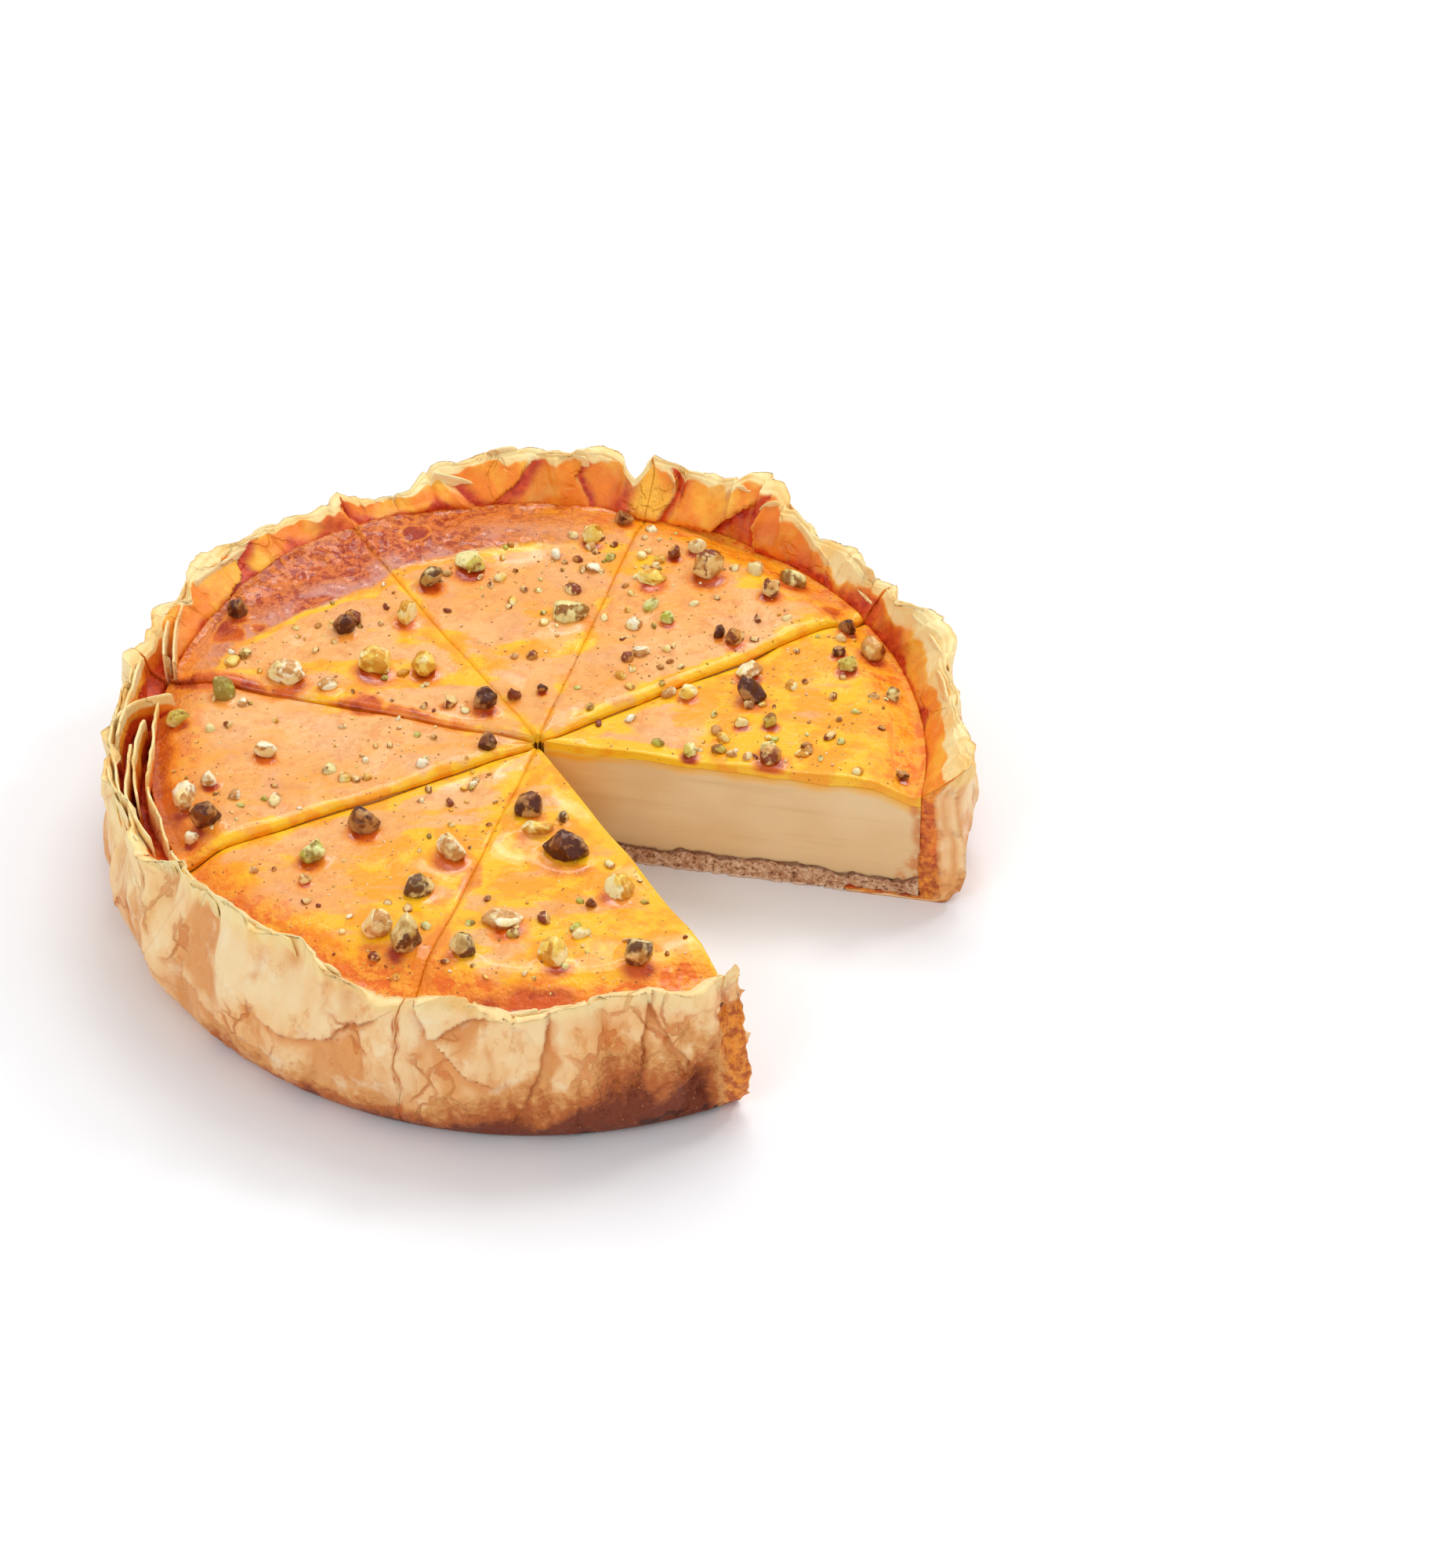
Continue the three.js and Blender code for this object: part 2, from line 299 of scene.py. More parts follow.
class Board:
    # one finish's nodes, ending in a Principled shader
    def __init__(self, name, **constants):
        self.material = bpy.data.materials.new(name)
        self.material.use_nodes = True
        self.nodes = self.material.node_tree.nodes
        self.links = self.material.node_tree.links
        self.shader = self.nodes["Principled BSDF"]
        for socket, value in constants.items():
            self.shader.inputs[socket].default_value = value
        self.place = self.add("ShaderNodeTexCoord", output="Object")

    def add(self, kind, settings=None, inputs=None, output=0):
        node = self.nodes.new(kind)
        for name, value in (settings or {}).items():
            setattr(node, name, value)
        for name, value in (inputs or {}).items():
            self.join(value, node.inputs[name])
        return Wire(self, node.outputs[output])

    def join(self, value, socket):
        if isinstance(value, Wire):
            self.links.new(value.socket, socket)
        else:
            socket.default_value = value

    def value(self, title):
        # a named number that the mesh carries at its corners
        return self.add("ShaderNodeAttribute", {"attribute_name": title}, output="Fac")

    def stretched(self, x, y, z):
        return self.add("ShaderNodeVectorMath", {"operation": "MULTIPLY"}, {0: self.place, 1: (x, y, z)})

    def lumps(self, size, detail=2.0, roughness=0.5, place=None):
        # soft noise from 0 to 1 in lumps of about size millimetres
        return self.add("ShaderNodeTexNoise", {}, {
            "Vector": place or self.place, "Scale": 0.5 / (size * mm), "Detail": detail,
            "Roughness": roughness,
        })

    def cells(self, size, feature="F1", place=None):
        # distance within cells of about size millimetres
        return self.add("ShaderNodeTexVoronoi", {"feature": feature}, {
            "Vector": place or self.place, "Scale": 1 / (size * mm),
        }, "Distance")

    def fade(self, value, low, high):
        # an eased step from 0 at low to 1 at high
        return self.add("ShaderNodeMapRange", {"interpolation_type": "SMOOTHSTEP"}, {
            "Value": value, "From Min": low, "From Max": high,
        })

    def blend(self, share, a, b):
        # colour a, or b where share is 1
        return self.add("ShaderNodeMix", {"data_type": "RGBA"}, {0: share, 6: paint(a), 7: paint(b)}, 2)

    def coats(self, color, *layers):
        # a colour with others over it, each as its share and its colour
        for share, over in layers:
            color = self.blend(share, color, over)
        return color

    def wear(self, color, roughness, relief, depth):
        # joins what changes over the surface; depth is the relief's height in millimetres
        self.join(color, self.shader.inputs["Base Color"])
        self.join(roughness, self.shader.inputs["Roughness"])
        normal = self.add("ShaderNodeBump", {}, {"Height": relief, "Distance": depth * mm, "Strength": 1.0})
        self.join(normal, self.shader.inputs["Normal"])
        return self.material


def pastryFinish():
    # thin buttered sheets: cream with painted tan shade in its folds and hollows and patches of painted
    # highlight, amber on the inner side, browned towards the foot, where the darkest browns also stand for
    # painted shade
    board = Board("pastry", **{"Subsurface Weight": 0.1, "Subsurface Scale": 0.002,
                               "Subsurface Radius": (1.0, 0.45, 0.2), "Specular IOR Level": 0.4})
    fade, blend, lumps, cells, value = board.fade, board.blend, board.lumps, board.cells, board.value
    patches, fine, grains = lumps(9, 3), lumps(1.4, 3, 0.65), cells(2.4)
    streaks = lumps(7, 3, 0.55, board.stretched(1, 1, 0.3))
    flecks = lumps(3, 5, 0.7, board.stretched(1, 1, 0.6))
    wrinkles = lumps(3.5, 4, 0.6, board.stretched(1, 1, 0.45))
    # the ragged edges of flakes, in places
    stray = board.add("ShaderNodeTexNoise", {},
                      {"Vector": board.place, "Scale": 0.5 / (5 * mm), "Detail": 4.0}, "Color")
    ragged = board.add("ShaderNodeVectorMath", {"operation": "MULTIPLY_ADD"},
                       {0: stray, 1: [14 * mm] * 3, 2: board.stretched(1, 1, 0.7)})
    flakes, shown = cells(13, "DISTANCE_TO_EDGE", ragged), fade(lumps(12, 2), 0.49, 0.6)
    flakeEdge = fade(flakes, 0.07, 0.005) * shown
    cream = board.coats(
        (254, 222, 168),
        (fade(patches, 0.3, 0.7), (250, 198, 134)),
        # painted tan shade in the folds, hollows and creases, and lower down the wall
        (fade(value("paintedShade") + (streaks - 0.5) * 1.2, 0.15, 1.1) * 0.8, (226, 144, 66)),
        (fade(streaks, 0.58, 0.72) * 0.4, (230, 166, 96)),
        (fade(flecks, 0.52, 0.64) * fade(patches, 0.42, 0.56) * 0.6, (224, 146, 74)),
        # pale near-white patches: a painted highlight
        (fade(lumps(5, 4, 0.65), 0.54, 0.68) * 0.4, (255, 238, 200)),
        (fade(flakes, 0.3, 0.0) * shown * 0.45, (242, 160, 74)),
        (flakeEdge * 0.6, (212, 104, 24)),
        (value("buttery"), blend(fade(streaks, 0.4, 0.65), (255, 233, 168), (252, 206, 118))),
    )
    # deep red where the syrup soaks in, also used for painted shade in recesses
    soakedAndShade = blend(fade(fine, 0.35, 0.65), (184, 44, 12), (222, 80, 22))
    inside = board.coats(
        (255, 184, 56),
        (fade(streaks, 0.36, 0.6), (246, 134, 28)),
        (fade(patches, 0.56, 0.68) * 0.6, (255, 200, 90)),
        (fade(value("soakedAndShade") + (patches - 0.5) * 0.8, 0.2, 0.75), soakedAndShade),
    )
    crumb = board.coats(
        (190, 88, 28),
        (fade(fine, 0.36, 0.62), (248, 152, 50)),
        (fade(grains, 0.26, 0.1) * 0.35, (255, 196, 108)),
        (fade(patches, 0.54, 0.68) * 0.7, (168, 70, 24)),
    )
    toastAndShade, sponge = value("toastAndShade"), value("sponge")
    uneven = (fine - 0.5) * 0.6 + (patches - 0.5) * 0.5 + (streaks - 0.5) * 0.4
    browningAndShade = toastAndShade + uneven * fade(toastAndShade, 0, 0.2)
    color = board.coats(
        cream,
        (fade(value("inside") + (streaks - 0.5) * 0.9, 0.3, 0.62), inside),
        (sponge, crumb),
        # browned towards the foot; the darkest browns also stand for painted shade low on the front
        (fade(browningAndShade, 0.04, 0.3), (228, 160, 88)),
        (fade(browningAndShade, 0.24, 0.5), (192, 102, 36)),
        (fade(browningAndShade, 0.46, 0.85), (128, 52, 14)),
        (fade(grains, 0.22, 0.08) * fade(toastAndShade, 0.15, 0.5) * 0.45, (226, 150, 84)),
        (fade(value("burnAndShade") + (fine - 0.5) * 0.8, 0.3, 0.75), (84, 32, 12)),
        (value("crack"), (200, 92, 20)),
    )
    rough = toastAndShade + sponge
    relief = fine * 0.5 - flakeEdge * 0.8 + flecks * 0.9 + wrinkles * 1.4 + rough * (fine - grains) * 1.4
    return board.wear(color, 0.42 + (fine - 0.5) * 0.25 + rough * 0.15, relief, 0.55)


def fillingFinish():
    # smooth baked cheese: warm near the glaze, with the knife's faint level drag marks
    board = Board("filling", **{"Subsurface Weight": 0.25, "Subsurface Scale": 0.004,
                                "Subsurface Radius": (1.0, 0.7, 0.4)})
    fade, lumps, value = board.fade, board.lumps, board.value
    drag = lumps(6, 3, 0.6, board.stretched(0.25, 0.25, 4))
    color = board.coats(
        (238, 206, 156),
        (fade(lumps(18, 2), 0.35, 0.65), (230, 192, 138)),
        (fade(drag, 0.5, 0.7) * 0.4, (218, 178, 122)),
        (value("warm"), (250, 176, 40)),
        (value("low") * 0.35, (210, 170, 120)),
        (value("stain") * fade(lumps(2.5, 4, 0.6), 0.36, 0.56) * 0.85, (212, 122, 54)),
    )
    return board.wear(color, 0.42 + drag * 0.2, drag + lumps(1.2, 2) * 0.25, 0.22)


def crumbFinish():
    # pressed biscuit crumb: brown grains, their tops paler as a painted highlight and the gaps between them
    # dark as painted shade
    board = Board("crumb", **{"Specular IOR Level": 0.2})
    fade, lumps, value = board.fade, board.lumps, board.value
    grains, clods = lumps(0.7, 3, 0.7), lumps(3, 4, 0.7)
    color = board.coats(
        (196, 138, 100),
        (fade(clods, 0.35, 0.65), (226, 180, 140)),
        # pale grain tops and dark gaps: painted highlight and painted shade
        (fade(grains, 0.53, 0.62) * 0.8, (246, 214, 184)),
        (fade(grains, 0.47, 0.36) * 0.85, (112, 62, 38)),
        (fade(value("dark") + (clods - 0.5) * 1.2, 0.25, 0.8) * 0.7, (104, 56, 34)),
        (fade(value("pale") + (grains - 0.5), 0.2, 0.8), (238, 206, 180)),
    )
    return board.wear(color, 0.9, grains + clods * 1.6, 1)


def glazeFinish():
    # a set amber gel over the baked top: peach patches of painted sheen and golden patches, browned and red
    # rings with a painted lilac sheen, painted reflections of the kernels, and specks
    board = Board("glaze", **{"Coat Weight": 0.4, "Coat Roughness": 0.07, "Specular IOR Level": 0.2})
    fade, blend, lumps, cells, value = board.fade, board.blend, board.lumps, board.cells, board.value
    fine, middle, mottle, bubbles = lumps(1.2, 3, 0.6), lumps(5, 3, 0.55), lumps(2.4, 4, 0.65), cells(1.5)
    streaks = lumps(7, 4, 0.6, board.stretched(0.6, 1.5, 1))
    # the peach base is a painted sheen: soft light reflected in the gel
    peachSheen = board.coats(
        (243, 181, 112),
        (fade(lumps(26, 2), 0.4, 0.6), (240, 167, 84)),
        (fade(middle, 0.58, 0.66) * 0.4, (242, 158, 74)),
        (fade(mottle, 0.46, 0.64) * 0.55, (226, 140, 70)),
        # pinkish patches: painted sheen
        (fade(lumps(9, 3), 0.52, 0.66) * 0.25, (232, 176, 140)),
        (fade(streaks, 0.54, 0.66) * 0.6, (246, 164, 54)),
    )
    grainy = board.coats(
        (170, 52, 14),
        (fade(fine, 0.4, 0.6), (224, 112, 44)),
        (fade(middle, 0.5, 0.62) * 0.6, (232, 130, 54)),
        # paler bubble tops: a painted highlight
        (fade(bubbles, 0.3, 0.12) * 0.5, (238, 158, 96)),
        # a painted lilac sheen near the shore of the browned ring
        (value("paintedLilacSheen") * fade(middle, 0.4, 0.56) * 0.75, (216, 152, 138)),
    )
    gold = blend(fade(middle, 0.42, 0.58), (253, 188, 26), (249, 160, 18))
    orange = blend(fade(mottle, 0.42, 0.58), (238, 116, 18), (253, 170, 46))
    edge = blend(fade(middle, 0.44, 0.6), (254, 194, 34), (250, 164, 22))
    # syrup red, which also paints the shadow and reflection in front of each kernel
    syrupAndReflection = blend(fade(middle, 0.4, 0.6), (168, 48, 4), (214, 92, 12))
    red = value("red") + (fine - 0.5) * 0.4
    color = board.coats(
        peachSheen,
        (fade(value("gold") + (streaks - 0.5) * 1.1, 0.44, 0.6), gold),
        (value("orange"), orange),
        (value("browned"), grainy),
        (value("edge"), edge),
        (fade(red, 0.05, 0.4) * 0.9, (240, 140, 34)),
        (fade(red, 0.3, 0.85), syrupAndReflection),
        (fade(cells(3.4), 0.15, 0.08) * fade(middle, 0.4, 0.5) * 0.75, (140, 64, 26)),
        (fade(cells(1.9), 0.2, 0.1) * fade(lumps(14, 2), 0.44, 0.56) * 0.5, (190, 104, 44)),
    )
    uneven = value("browned") + value("orange") * 0.6
    relief = middle * 1.5 + mottle * (0.4 + uneven) + (fine - bubbles * 0.8) * (0.1 + uneven * 0.6)
    return board.wear(color, 0.2 + uneven * 0.14 + fade(middle, 0.45, 0.7) * 0.1, relief, 0.8)


def nutFinish(kind, skin, flesh, pale):
    # a pistachio's thin skin, worn through to the flesh, open where it was chopped and wet with glaze
    board = Board(f"nut {kind}", **{"Coat Weight": 0.35, "Coat Roughness": 0.1, "Specular IOR Level": 0.2})
    fade, lumps, value = board.fade, board.lumps, board.value
    worn, fine = lumps(3.2, 2, 0.55), lumps(0.8, 3, 0.6)
    color = board.coats(
        skin,
        (fade(worn + value("chopped") * 0.4 + (fine - 0.5) * 0.3, 0.45, 0.62),
         board.blend(fade(lumps(3.4, 2), 0.42, 0.58), flesh, pale)),
        # darker in the pits and paler on the bumps: painted shade and painted highlight
        (fade(fine, 0.42, 0.32) * 0.35, (96, 44, 16)),
        (fade(fine, 0.58, 0.7) * 0.4, pale),
        (value("wet"), (150, 44, 8)),
    )
    return board.wear(color, 0.34, worn + fine * 0.7, 0.5)


finishes = {
    "pastry": pastryFinish(),
    "filling": fillingFinish(),
    "crumb": crumbFinish(),
    "glaze": glazeFinish(),
}
print("finishes made")


# The pastry wall

pastry = {
    "steps": (8, 220, 88),    # through the wall, along it and up it
    "inside": [(97, 1.6), (108, 1.6), (119.3, 1.6), (119.3, 5), (119.3, 11), (119.3, 19), (119.3, 28),
               (119.3, 36)],
    "outside": [(97, 0), (111, 0), (125.5, 0), (130, 2.6), (133, 9), (134.3, 18), (134, 28), (132.5, 38)],
    "crestThickness": 1.9,
    # waves round the wall: their count, lean, depth and start
    "folds": [(17, 0.05, 0.9, 0.4), (29, -0.07, 0.8, 2.1), (43, 0.09, 0.5, 4.2)],
    "sheets": 12,             # torn sheet edges on each slice's wall, besides the ones below
    "sheetThickness": 0.8,
    "tear": 2.2,              # depth of the notches torn in the crest
    # edges of sheets lying over others, as azimuth and height along them and their step; raised on their left
    "outerLaps": [
        ([(203, 50), (206, 40), (209, 30), (214, 18)], 1.6), ([(219, 23), (223, 18), (229, 16)], 0.9),
        ([(231, 31), (237, 27), (243, 31), (246, 38), (249.5, 43.5)], 1.1),
        ([(255.3, 54), (255.8, 46), (257.1, 39.5), (260, 43.5), (263, 48), (266, 51)], 1.5),
        ([(258.7, 35), (261, 29.5), (265.5, 26)], 0.9), ([(284, 30), (284.7, 40), (286.2, 54)], 1.2),
        ([(269.3, 20), (271.4, 31), (272, 41), (272.4, 52)], 0.9),
        ([(288.3, 36), (289.5, 26), (290.3, 18)], 0.8),
        ([(286.1, 50), (287.2, 43), (288.6, 36), (290.7, 29), (294, 36), (295.2, 44)], 1.5),
    ],
    "innerLaps": [
        ([(106.9, 57), (103.8, 50), (100.3, 45)], 1.8), ([(92, 57), (94, 51), (98, 46)], 1.0),
        ([(73.1, 58), (70.2, 55.5), (70.5, 51), (71.8, 45)], 1.6), ([(122.5, 56), (121, 50), (119, 45)], 1.6),
        ([(59.6, 52), (62.6, 47), (65.2, 44), (70, 42.5), (77, 42)], 3.2),
        ([(138, 56), (141, 51), (147, 47)], 1.2), ([(55, 42), (56.6, 52), (55.7, 57)], 2.0),
        ([(84, 58), (86, 52), (84, 46)], 1.0),
    ],
    # folds of the inner side over itself: azimuth, slant, width, depth
    "pleats": [
        (61, 0.2, 4.5, 3.8), (57, 0.1, 4.5, 3.6), (52.5, 0.2, 5, 3.0), (47, 0.5, 9, 2.0),
        (40, -0.3, 8, 1.4), (34, 0.4, 9, 1.6), (27, 0.2, 10, 1.6), (21, -0.5, 9, 2.4), (13, 0.4, 10, 1.8),
        (6, -0.3, 8, 1.6), (-1, 0.3, 9, 1.8), (-7, 0.1, 7, 1.4), (79, -0.2, 8, 1.6), (89, 0.4, 12, 1.2),
        (112, 0.5, 12, 1.2), (118, 0.2, 6, 2.4), (124, -0.5, 7, 2.2), (133, 0.3, 12, 1.4),
        (143, -0.3, 12, 1.4), (152, 0.4, 9, 1.6), (160, -0.2, 8, 1.6), (188, 0.3, 9, 1.0),
        (213, 0.4, 12, 1.2), (226, -0.3, 14, 1.0), (239, 0.4, 13, 1.0), (249, -0.4, 9, 1.2),
        (263, 0.3, 13, 0.9), (277, -0.3, 12, 0.8), (288, 0.3, 10, 1.0),
    ],
    # round the cake by azimuth: how red the inner side is, how pale its upper part,
    # how high the foot is browned, and where the outer sheet is torn off at the end, by height
    "reddened": [(-11, 0.3), (14, 0.3), (22, 0.7), (34, 0.8), (50, 0.55), (60, 0.65), (64, 0.4), (68, 0.1),
                 (75, 0.2), (78, 0.9), (82, 0.25), (98, 0.35), (103, 0.6), (108, 0.2), (116, 0.5),
                 (123, 0.9), (128, 0.2), (150, 0.1), (160, 0.5), (175, 0.9), (195, 1), (206, 0.6),
                 (230, 0.4), (299, 0.6)],
    "paled": [(-11, 0.9), (16, 0.9), (22, 0.5), (27, 0.8), (44, 0.9), (50, 0), (299, 0)],
    "browned": [(-11, 12), (60, 16), (150, 12), (200, 4), (225, 11), (243, 13), (253, 12), (260, 17),
                (266, 18), (271, 28), (283, 34), (289, 35), (294, 40), (299, 42)],
    "tornOff": [(0, 289), (16, 290), (28, 290.5), (32, 294.5), (44, 294.5)],
    "speck": (295.8, 42.5),   # a burnt one near the end
    "gap": 0.16,              # what is left open of the kerf between two slices' pastry
    "crackWander": 1.9,       # how far the crack at a cut strays to either side on the outside
    "cutRagged": 0.8,
    "comeApart": (184, 21),   # where the left side's sheets have come apart: azimuth and width
    "byHandFrom": (196, 206),   # azimuths over which the laps above take over from sheets at random
    "darkFrom": (215, 280),   # and it gets darker towards the front, partly browning and partly painted shade
    "butteredFrom": (135, 155),
    "butteredTo": (222, 200),
    "clearance": 0.02,        # of the underside above the floor
    "leastThickness": 0.9,
    "length": 97,             # of a slice's wall
}


def crackLine(cutAngle, radius, height):
    # how far a cut's crack strays along the wall: nothing inside, a jagged line on the outer side
    wander = roughCloud(cutAngle, height * 0.8, 0, 8, 15)
    return pastry["crackWander"] * wander * smooth(126, 131, radius) * smooth(1, 6, height)


def comeApart(azimuth):
    # 1 where the left side's sheets have come apart and leave a groove behind the innermost one
    return hill(azimuth, *pastry["comeApart"], 4)


def glazeAtWall(azimuth, lift):
    # the height at which the glaze meets the wall
    return cake["glazeHeight"] + lift - np.maximum(sunk(azimuth), 0)


def wallSection(azimuth, lift):
    # the two sides of the wall, inside and outside, as lists of knots up it: radius, height
    height, radius = crestAt(azimuth)
    edge = glazeAtWall(azimuth, lift)
    groove = comeApart(azimuth)
    inside = pastry["inside"] + [
        (119.6 + 3 * groove, edge - 2 * groove),
        (lerp(cake["wallRadius"], radius, 0.45 + 0.25 * groove), lerp(edge, height, 0.5 - 0.55 * groove)),
        (radius - pastry["crestThickness"] - 0.6 * groove, height - 0.5 - 2.5 * groove),
    ]
    outside = pastry["outside"] + [
        (lerp(132, radius, 0.5), 45),
        (lerp(132, radius, 0.9), lerp(45, height, 0.55)),
        (radius, height),
    ]
    return inside, outside


def tornSheets(along, height, seed):
    # sheets laid over each other: each swells towards a wavering slanted edge, then steps down to a crack
    draw = np.random.default_rng(seed)
    relief, crack = 0, 0
    low, high = along.min(), along.max()
    for k in range(pastry["sheets"]):
        middle = lerp(low, high, (k + draw.uniform(0.1, 0.9)) / pastry["sheets"])
        slant = np.radians(draw.normal(90, 26)) * draw.choice([-1, 1])
        level = draw.uniform(10, 46)
        x, z = along - middle, height - level
        off = x * np.sin(slant) + z * np.cos(slant) + 2.6 * roughCloud(along, height, k, 13, seed + k, 3)
        reach = smooth(28, 12, np.hypot(x * 1.3, z) + 8 * cloud(along, height, 5, 12, seed + k))
        thickness = pastry["sheetThickness"] * draw.uniform(0.4, 1.1)
        relief = relief + thickness * reach * (smooth(-9, -0.4, off) * smooth(0.35, -0.35, off) - 0.25)
        crack = np.maximum(crack, reach * hill(off, 0.35, 0.4) * draw.uniform(0.1, 0.8))
    return relief, crack


def crestEdge(arc, seed):
    # the torn edge of a sheet along the wall: slow waves, small bites and narrow V-shaped tears
    waves = 0.7 * cloud(arc, seed, 1, 7, 2) + 0.35 * cloud(arc, seed, 4, 2.2, 6)
    tears = creases(arc, seed, 8, 11, 3, 0.09) * smooth(-0.3, 0.5, cloud(arc, seed, 2, 23, 4))
    return waves - 0.6 - pastry["tear"] * tears


def pleated(azimuth, height):
    # each fold swells gently to a slanted line and drops sharply beyond it; they fade towards the glaze
    amount = 0
    for place, slant, width, depth in pastry["pleats"]:
        off = alongCrest(azimuth - place) - slant * (height - 52) + 0.8 * cloud(height, place, 0, 5, 16)
        amount = amount + depth * smooth(-width, -0.3, off) ** 1.5 * smooth(0.7, -0.2, off)
    return amount * smooth(43, 56, height)


def lapped(laps, azimuth, height, reach):
    # the listed sheets laid over others: how far they are raised, the line of the edge and the painted shade
    # beside it
    arc = alongWall(azimuth)
    x = arc + 0.8 * roughCloud(arc, height, 3, 6, 17)
    y = height + 0.8 * roughCloud(arc, height, 5, 6, 18)
    raised, line, shadeBeside = np.zeros((3, len(arc)))
    for points, step in laps:
        nearest, side = np.full(len(arc), 99.0), np.zeros(len(arc))
        for (first, low), (last, high) in zip(points, points[1:]):
            along, rise = alongWall(last - first), high - low
            right, above = x - alongWall(first), y - low
            share = np.clip((right * along + above * rise) / (along**2 + rise**2), 0, 1)
            off = np.hypot(right - share * along, above - share * rise)
            side = np.where(off < nearest, along * above - rise * right, side)
            nearest = np.minimum(nearest, off)
        over = side > 0
        raised += 1.4 * step * np.where(over, smooth(reach, 0.2, nearest), -0.3 * smooth(2, 0.2, nearest))
        line = np.maximum(line, smooth(0.9, 0.2, nearest) * min(step, 1) * 0.6)
        # painted shade on the lower side beside each edge
        shadeBeside = np.maximum(shadeBeside, np.where(over, 0, smooth(0.5 * reach, 0.3, nearest)))
    return raised, line, shadeBeside


def makePastry(number, start, end, lift):
    (through, along, up), quads = blockSkin(pastry["steps"])
    middle = across(start, end, cake["wallRadius"], along)
    inside, outside = wallSection(middle, lift)
    innerRadius, innerHeight = (alongKnots([knot[k] for knot in inside], up) for k in (0, 1))
    outerRadius, outerHeight = (alongKnots([knot[k] for knot in outside], up) for k in (0, 1))
    arc = alongWall(middle)
    reddened, paled, browned = (atKnots(pastry[name], middle) for name in ("reddened", "paled", "browned"))
    atEnd = onSide(along)
    outer, inner = (through > 0.5) & ~atEnd, (through < 0.5) & ~atEnd

    # the outer side: folds, sheets laid over each other, wrinkles and the browned foot's grain
    folds = sum(depth * np.sin(count * np.radians(middle) + lean * outerHeight + begin)
                for count, lean, depth, begin in pastry["folds"])
    relief, crack = tornSheets(arc, outerHeight, 40 + number)
    raised, line, shadeBeside = lapped(pastry["outerLaps"], middle, outerHeight, 10)
    byHand = smooth(*pastry["byHandFrom"], middle)
    relief = lerp(relief, raised + 0.6 * relief, byHand)
    crack = np.maximum(crack * lerp(0.7, 0.2, byHand), line)
    wrinkle = 1.15 * roughCloud(arc, outerHeight * 0.5, 0, 9, 3, 4)
    wrinkle -= 0.8 * creases(arc, outerHeight * 0.4, 2, 9, 8, 0.2)
    wrinkle += 0.8 * cloud(arc, outerHeight * 0.7, 6, 16, 29)
    tear = atKnots(pastry["tornOff"], outerHeight)
    bared = smooth(-0.3, 0.4, middle - tear + 1.2 * roughCloud(arc, outerHeight, 5, 5, 13))
    bared = bared * smooth(44, 42, outerHeight + 2 * cloud(arc, 0, 6, 6, 14))
    below = browned - outerHeight + 8 * roughCloud(arc, outerHeight * 0.5, 2, 12, 12, 4)
    front = smooth(*pastry["darkFrom"], middle)
    toastAndShade = (0.38 * smooth(-5, 4, below) + 0.62 * smooth(3, 26, below)) * lerp(0.75, 1, front)
    grain = 0.45 * roughCloud(arc, outerHeight, 8, 2.6, 23, 2) * (smooth(0, 0.4, toastAndShade) + bared)
    relief = relief * (1 - bared) - 1.1 * bared
    outerRadius += smooth(2, 14, outerHeight) * (folds + relief + wrinkle)
    outerRadius += smooth(1, 4, outerHeight) * grain

    # above the glaze the inner side is rumpled and pleated
    high = up > 0.7
    pleat, ridge, innerRaised, innerShadeBeside = np.zeros((4, len(up)))
    pleat[high] = pleated(middle[high], innerHeight[high])
    innerRaised[high], ridge[high], innerShadeBeside[high] = lapped(pastry["innerLaps"], middle[high],
                                                               innerHeight[high], 14)
    rumple = 0.9 * roughCloud(arc, innerHeight * 0.6, 7, 10, 4)
    rumple -= 0.6 * creases(arc, innerHeight * 0.3, 1, 10, 9)
    innerRadius += smooth(0.74, 0.86, up) * (rumple - 0.2 - pleat - innerRaised * smooth(1, 0.9, up))
    outerRadius -= 0.75 * smooth(0.82, 1, up) * pleat
    innerRadius = np.minimum(innerRadius, outerRadius - pastry["leastThickness"])
    leaning = smooth(0.78, 1, up) * 1.5 * cloud(arc, 0, 4, 9, 5)
    radius = lerp(innerRadius, outerRadius, through) + leaning
    rounded = 0.9 * (2 * through - 1) ** 2 * (up == 1)
    height = lerp(innerHeight, outerHeight, through) + smooth(0.8, 1, up) * crestEdge(arc, 0) - rounded
    height = np.where(up > 0.6, height, np.maximum(height, pastry["clearance"]))

    # cut ends: thin upright layers, crumbs torn out and pale splinters; both sides of a crack follow one line
    layered = 0.5 + 0.5 * np.sin(through * 26 + 3 * cloud(radius, height * 0.4, 0, 9, 7))
    exposed = atOpenCut(start, end, along)
    splinters = 1.8 * smooth(0.1, 0.8, cloud(radius * 0.6, height, 4, 1.7, 24)) * smooth(0.55, 0.9, through)
    torn = pastry["cutRagged"] * (0.6 * layered + 0.8 * roughCloud(radius, height, 3, 3, 9)) - splinters
    fromEnd = np.minimum(along, 1 - along)
    ends = np.clip(1 - fromEnd / 0.015, 0, 1)
    inward = np.where(exposed, torn, (pastry["gap"] - cake["kerf"]) / 2) * ends * smooth(0.3, 2, height)
    stray = crackLine(start, radius, height) * smooth(7, 0, fromSide(start, start + 180, radius, middle))
    stray += crackLine(end, radius, height) * smooth(7, 0, fromSide(end - 180, end, radius, middle))
    moved = into(along) * inward + np.where(exposed & (ends > 0), 0, stray)
    azimuth = across(start, end, radius, along) + np.degrees(moved / radius)

